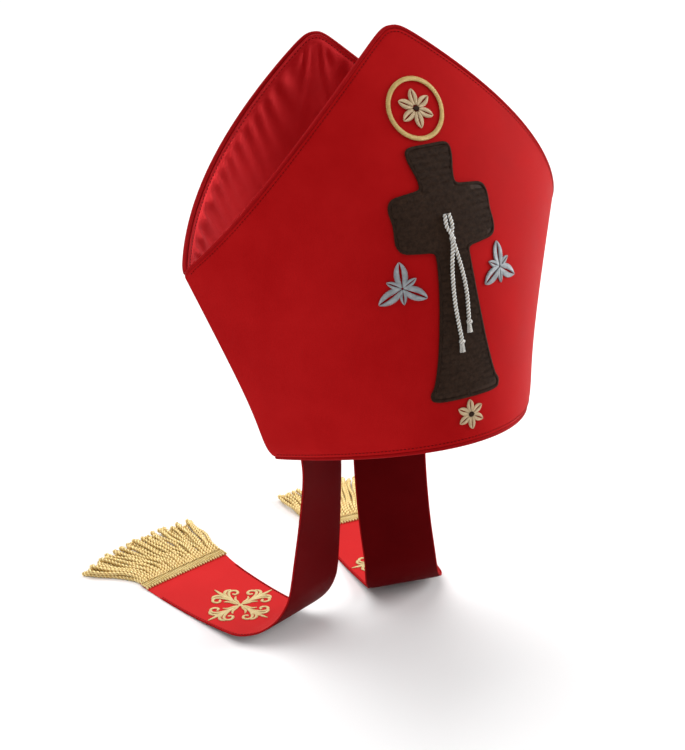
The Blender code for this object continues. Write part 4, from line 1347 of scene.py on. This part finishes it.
@dataclass
class FrontOrnament:
    """The embroidery on the front horn: ring and rosette, tall cross, leaf sprays and foot motif."""

    kit: Kit
    ease: float = 0.6 * MM
    cross_foot: float = 38.0 * MM
    cross_height: float = 165.0 * MM
    cross_half_span: float = 37.0 * MM
    ring_radius: float = 21.0 * MM
    ring_width: float = 3.6 * MM
    rosette_radius: float = 12.5 * MM
    leaf_radius: float = 17.0 * MM
    leaf_offset: float = 37.0 * MM
    roundel_radius: float = 10.0 * MM
    spacing: float = 3.0 * MM
    arm_share: float = 0.60
    # Height and half width from foot to head, as shares of the cross's height and half span
    outline: tuple[tuple[float, float], ...] = (
        (0.00, 0.66), (0.03, 0.70), (0.06, 0.60), (0.20, 0.47), (0.40, 0.36), (0.56, 0.31), (0.60, 0.33),
        (0.607, 0.62), (0.615, 0.92), (0.65, 1.00), (0.72, 0.96), (0.785, 1.00), (0.82, 0.92),
        (0.828, 0.62), (0.835, 0.34), (0.88, 0.33), (0.96, 0.44), (1.00, 0.42),
    )

    def spot(self, x: Grid, height: Grid, lift: Grid) -> Grid:
        """Points over the front cloth."""
        return self.kit.form.wall_point(Side.FRONT, x, height, -(np.asarray(lift) + self.ease))

    def upward(self, points_x: Grid, heights: Grid) -> Grid:
        """The cloth's outward normals at places on the front."""
        step = 0.5 * MM
        across = self.spot(points_x + step, heights, 0) - self.spot(points_x - step, heights, 0)
        rising = self.spot(points_x, heights + step, 0) - self.spot(points_x, heights - step, 0)
        return unit(np.cross(across, rising))

    def threads(self, name: str, lines: Sequence[Grid], material: bpy.types.Material, lift: float = 0.2 * MM,
                **sizes: float) -> bpy.types.Object:
        """Lays satin stitch along lines of x, height and half width."""
        paths = [self.spot(line[:, 0], line[:, 1], lift) for line in lines]
        ups = [self.upward(line[:, 0], line[:, 1]) for line in lines]
        return self.kit.satin(name, paths, ups, [line[:, 2] for line in lines], material, **sizes)

    def cross_half(self, heights: Grid) -> Grid:
        """Half width of the cross at shares of its height."""
        table = self.rounded_outline()
        return np.interp(heights, table[:, 0], table[:, 1]) * self.cross_half_span

    def rounded_outline(self) -> Grid:
        """The cross's outline with its corners cut twice, from the middle of its foot to its head."""
        line = np.array([(0.0, 0.0), *self.outline, (1.0, 0.0)])
        for _ in range(2):
            near, far = line[:-1] * 0.78 + line[1:] * 0.22, line[:-1] * 0.22 + line[1:] * 0.78
            cut = np.stack([near, far], axis=1).reshape(-1, 2)
            line = np.concatenate([line[:1], cut, line[-1:]])
        line[:, 0] = np.maximum.accumulate(line[:, 0] + np.linspace(0, 1e-5, len(line)))
        return line

    def build_cross(self) -> None:
        """Builds the padded cross, the rows of threads that fill it and the stitching round it."""
        finishes = self.kit.finishes
        table = self.rounded_outline()
        fine = np.unique(np.concatenate([table[:, 0], np.linspace(0, 1, 90)]))
        half = self.cross_half(fine)
        columns = np.linspace(-1, 1, 41)
        x = half[:, None] * columns
        height = np.broadcast_to((self.cross_foot + self.cross_height * fine)[:, None], x.shape)
        margin = np.minimum(half[:, None] * (1 - np.abs(columns)),
                            np.minimum(fine, 1 - fine)[:, None] * self.cross_height)
        dome = 0.7 * MM * (1 - np.exp(-margin / (3 * MM)))
        outer = self.spot(x, height, 0.1 * MM + dome)
        inner = self.spot(x, height, np.full_like(x, -0.3 * MM))
        uv = np.stack([x, height], axis=-1)
        plate = add_shell("cross_padding", outer, inner, [finishes.brown], uv)
        pitch, lines = 4.4 * MM, []
        for number in range(int(self.cross_height / pitch)):
            level = (number + 0.5) * pitch
            reach = np.linspace(-1, 1, 60)
            wide = min(float(self.cross_half(np.float64((level + step) / self.cross_height)))
                       for step in (-pitch / 2, 0, pitch / 2)) - 1.2 * MM
            shift = 0.12 * pitch * np.sin(reach * wide / (1.7 * MM) + 2.1 * number)
            lines.append(np.column_stack([reach * wide, self.cross_foot + level + shift,
                                          np.full(60, 0.62 * pitch)]))
        fill = self.threads("cross_fill", lines, finishes.brown, lift=0.75 * MM, spacing=0.78 * MM,
                            width=0.85 * MM, rise=0.75 * MM)
        half_outline = np.column_stack([table[:, 1] * self.cross_half_span,
                                        self.cross_foot + self.cross_height * table[:, 0]])
        loop = np.concatenate([half_outline[1:-1], (half_outline[1:-1] * [-1, 1])[::-1]])
        ring = np.vstack([loop, loop[:1]])
        steps = path_lengths(ring)
        even = np.linspace(0, steps[-1], 700, endpoint=False)
        dense = np.column_stack([np.interp(even, steps, ring[:, 0]), np.interp(even, steps, ring[:, 1])])
        line = np.column_stack([dense, np.full(len(dense), 1.25 * MM)])
        border = self.threads("cross_border", [line], finishes.brown, lift=0.45 * MM, spacing=0.5 * MM,
                              width=0.6 * MM, rise=1.5 * MM, closed=True)
        piece = join("front_cross_threads", [plate, fill, border])
        self.kit.ready(piece, "brown_thread", ["front_cross"])

    def build_cords(self) -> None:
        """Builds the pair of silver cords that hang down the cross, tied above and tasselled below."""
        finishes = self.kit.finishes
        top = self.cross_foot + self.cross_height * 0.735
        tie = top - 16 * MM
        lines = [[(-1.5, top), (-2.0, top - 8 * MM), (0.2, tie), (-3.6, tie - 20 * MM),
                  (-4.6, tie - 42 * MM), (-2.6, tie - 66 * MM)],
                 [(1.5, top), (2.0, top - 8 * MM), (0.4, tie), (3.4, tie - 20 * MM),
                  (4.9, tie - 36 * MM), (4.4, tie - 54 * MM)]]
        paths, tails = [], []
        for line in lines:
            line = smooth_path(line, 60)
            paths.append(self.spot(line[:, 0] * MM, line[:, 1], 2.3 * MM))
            end_x, end_level = line[-1, 0] * MM, line[-1, 1]
            for number in range(-2, 3):
                reach = np.linspace(0, 1, 12)
                tails.append(self.spot(end_x + number * (0.35 + 0.5 * reach) * MM, end_level - 9 * MM * reach,
                                       np.full(12, 1.9 * MM) + 0.3 * MM * (2 - abs(number))))
        knots = [self.spot(np.full(8, x * MM), np.linspace(level, level - 3.4 * MM, 8), 2.4 * MM)
                 for x, level in (lines[0][-1], lines[1][-1], (0.3, tie + 1.7 * MM))]
        cords = self.kit.twisted_cord("silver_cords", paths, 1.45 * MM, 4.6 * MM, finishes.silver_cord,
                                      strands=2, groove=0.5, step=0.6 * MM, sides=12)
        tassels = self.kit.twisted_cord("tassels", tails, 0.55 * MM, 2.6 * MM, finishes.silver_cord,
                                        groove=0.4, step=0.8 * MM, sides=8)
        bulge = [np.sqrt(np.clip(1 - np.linspace(-0.95, 0.95, 8) ** 2, 0.1, 1))] * len(knots)
        ties = self.kit.twisted_cord("knots", knots, 2.2 * MM, 9.0 * MM, finishes.silver_cord,
                                     thickness=bulge, strands=5, groove=0.25, step=0.4 * MM, sides=20)
        self.kit.ready(join("silver_cords", [cords, tassels, ties]), "silver_thread")

    def petals(self, centre_x: float, centre_height: float, count: int, radius: float, width: float,
               start: float = 0.0, core: float = 0.2) -> list[Grid]:
        """Lays out petals round a centre.

        Args:
            centre_x: The centre's distance from the middle of the hat.
            centre_height: The centre's height.
            count: How many petals.
            radius: How far they reach.
            width: Half width of a petal at its widest.
            start: Angle of the first one.
            core: Where they begin, as a share of the radius.

        Returns:
            Lines of x, height and half width.
        """
        lines = []
        share = np.linspace(0, 1, 20)
        for number in range(count):
            angle = start + TAU * number / count
            reach = radius * (core + (1 - core) * share)
            half = width * np.sin(math.pi * np.clip(0.12 + 0.86 * share, 0, 1)) ** 0.8
            for flank in (-1, 1):
                off = flank * half * 0.52
                lines.append(np.column_stack([
                    centre_x + reach * math.cos(angle) - off * math.sin(angle),
                    centre_height + reach * math.sin(angle) + off * math.cos(angle), half * 0.56]))
        return lines

    def flanks(self, name: str, lines: Sequence[Grid], material: bpy.types.Material, slant: float,
               **sizes: float) -> bpy.types.Object:
        """Stitches both halves of each petal, slanting away from its midrib."""
        halves = [self.threads(name, lines[first::2], material, slant=slant * (1 - 2 * first), **sizes)
                  for first in (0, 1)]
        return join(name, halves)

    def build_ring(self) -> None:
        """Builds the gold ring, the rosette inside it and the foot motif."""
        finishes = self.kit.finishes
        height = self.cross_foot + self.cross_height + self.spacing + self.ring_radius
        turn = np.linspace(0, TAU, 120, endpoint=False)
        middle = self.ring_radius - self.ring_width / 2
        line = np.column_stack([middle * np.cos(turn), height + middle * np.sin(turn),
                                np.full(120, self.ring_width / 2)])
        ring = self.threads("front_ring_threads", [line], finishes.halo_gold, spacing=0.4 * MM,
                            rise=1.3 * MM, slant=0.3, closed=True)
        self.kit.ready(ring, "gold_thread", ["front_ring"])
        low = self.cross_foot - self.spacing - self.roundel_radius
        for label, level, radius, half, rise in (
                ("front_rosette", height, self.rosette_radius, 3.3 * MM, 1.4 * MM),
                ("foot_roundel", low, self.roundel_radius, 2.8 * MM, 1.3 * MM)):
            flower = self.flanks(label + "_threads", self.petals(0, level, 6, radius, half, math.pi / 2),
                                 finishes.cream, 0.6, rise=rise, spacing=0.42 * MM)
            self.kit.ready(flower, "cream_thread", [label])
        hearts = [np.column_stack([np.linspace(-1.9, 1.9, 12) * MM, np.full(12, level),
                                   1.9 * MM * np.sqrt(1 - np.linspace(-0.97, 0.97, 12) ** 2)])
                  for level in (height, low)]
        core = self.threads("rosette_hearts", hearts, finishes.brown, lift=0.7 * MM, rise=1.4 * MM,
                            spacing=0.4 * MM)
        self.kit.ready(core, "brown_thread")

    def build_leaves(self) -> None:
        """Builds the silver leaf spray on each side of the stem."""
        level = self.cross_foot + self.cross_height * self.arm_share - self.spacing - self.leaf_radius
        for label, side in (("left", -1), ("right", 1)):
            lines = self.petals(side * self.leaf_offset, level, 3, self.leaf_radius, 4.8 * MM, math.pi / 2,
                                core=0.06)
            small = self.petals(side * self.leaf_offset, level, 3, self.leaf_radius * 0.62, 2.4 * MM,
                                -math.pi / 2, core=0.1)
            leaf = self.flanks("leaf_threads_" + label, lines + small, self.kit.finishes.silver, 0.65,
                               rise=1.4 * MM, spacing=0.45 * MM)
            self.kit.ready(leaf, "silver_thread", ["front_leaf_" + label])

    def build(self) -> None:
        """Builds every motif."""
        self.build_cross()
        self.build_cords()
        self.build_ring()
        self.build_leaves()


@dataclass
class Studio:
    """The floor, the lights and the camera."""

    kit: Kit
    floor_height: float = -200.5 * MM
    floor_size: float = 12.0
    camera_at: tuple[float, float, float] = (-0.5466, -0.9124, 0.5981)
    camera_to: tuple[float, float, float] = (-0.03806, 0.02074, 0.04089)
    lens: float = 81.84
    world_strength: float = 0.38
    sun_strength: float = 2.6
    sun_from: tuple[float, float, float] = (-0.15, 0.45, 0.88)
    sun_angle: float = math.radians(70)
    softbox_size: float = 1.1
    # Rows of name, place, target and power in watts
    softboxes: tuple[tuple, ...] = (
        ("left_softbox", (-1.9, -0.5, 0.5), (0, 0, 0.05), 6.0),
        ("right_softbox", (1.8, -0.35, 0.7), (0, 0, 0.08), 34.0),
    )

    def build_world(self, scene: bpy.types.Scene) -> None:
        """Makes the room's even light, and a white backdrop where the camera sees past the floor."""
        world = bpy.data.worlds.new("studio_world")
        world.use_nodes = True
        maker = ShaderMaker(world.node_tree)
        light = world.node_tree.nodes["Background"]
        light.inputs["Color"].default_value = (1.0, 1.0, 1.0, 1.0)
        light.inputs["Strength"].default_value = self.world_strength
        white = maker.node("ShaderNodeBackground", Color=(0.97, 0.97, 0.97), Strength=1.0)
        seen = maker.node("ShaderNodeLightPath").outputs["Is Camera Ray"]
        mix = maker.node("ShaderNodeMixShader", Fac=seen)
        maker.feed(mix.inputs[1], light.outputs[0])
        maker.feed(mix.inputs[2], white.outputs[0])
        maker.feed(world.node_tree.nodes["World Output"].inputs["Surface"], mix.outputs[0])
        scene.world = world

    def area_light(self, name: str, place: Sequence[float], target: Sequence[float], power: float) -> None:
        """Hangs one square soft light that faces a target."""
        data = bpy.data.lights.new(name, "AREA")
        data.shape = "SQUARE"
        data.size = self.softbox_size
        data.energy = power
        lamp = bpy.data.objects.new(name, data)
        lamp.location = place
        lamp.rotation_euler = (Vector(target) - Vector(place)).to_track_quat("-Z", "Y").to_euler()
        bpy.context.scene.collection.objects.link(lamp)

    def build(self) -> None:
        """Lays the floor, hangs the lights and sets the camera."""
        half, low = self.floor_size / 2, self.floor_height
        corners = np.array([(-half, -half, low), (half, -half, low), (half, half, low), (-half, half, low)])
        floor = add_mesh("studio_floor", corners, [(0, 1, 2, 3)], [self.kit.finishes.floor])
        if floor.data.polygons[0].normal.z < 0:
            floor.data.flip_normals()
        scene = bpy.context.scene
        self.build_world(scene)
        scene.view_settings.view_transform = "Standard"
        sun = bpy.data.lights.new("overhead_softbox", "SUN")
        sun.energy = self.sun_strength
        sun.angle = self.sun_angle
        lamp = bpy.data.objects.new("overhead_softbox", sun)
        lamp.rotation_euler = (-Vector(self.sun_from)).to_track_quat("-Z", "Y").to_euler()
        scene.collection.objects.link(lamp)
        for name, place, target, power in self.softboxes:
            self.area_light(name, place, target, power)
        data = bpy.data.cameras.new("photo_camera")
        data.lens = self.lens
        data.sensor_width = 36.0
        data.sensor_fit = "AUTO"
        camera = bpy.data.objects.new("photo_camera", data)
        camera.location = self.camera_at
        heading = Vector(self.camera_to) - Vector(self.camera_at)
        camera.rotation_euler = heading.to_track_quat("-Z", "Y").to_euler()
        scene.collection.objects.link(camera)
        scene.camera = camera


def main() -> None:
    """Builds every sub-assembly in order."""
    logging.basicConfig(level=logging.INFO, format="%(name)s %(message)s")
    kit = Kit(HatForm(), Trees(), Finishes())
    Studio(kit).build()
    for side in Side:
        Horn(kit, side).build()
    EdgeCords(kit).build()
    FoldLining(kit).build()
    Lappet(kit, Hand.LEFT, splay=81.0 * MM, run=110.6 * MM, angle=math.radians(11.6)).build()
    Lappet(kit, Hand.RIGHT, splay=43.0 * MM, run=117.0 * MM, angle=math.radians(5.0)).build()
    FrontOrnament(kit).build()


if __name__ == "__main__":
    main()
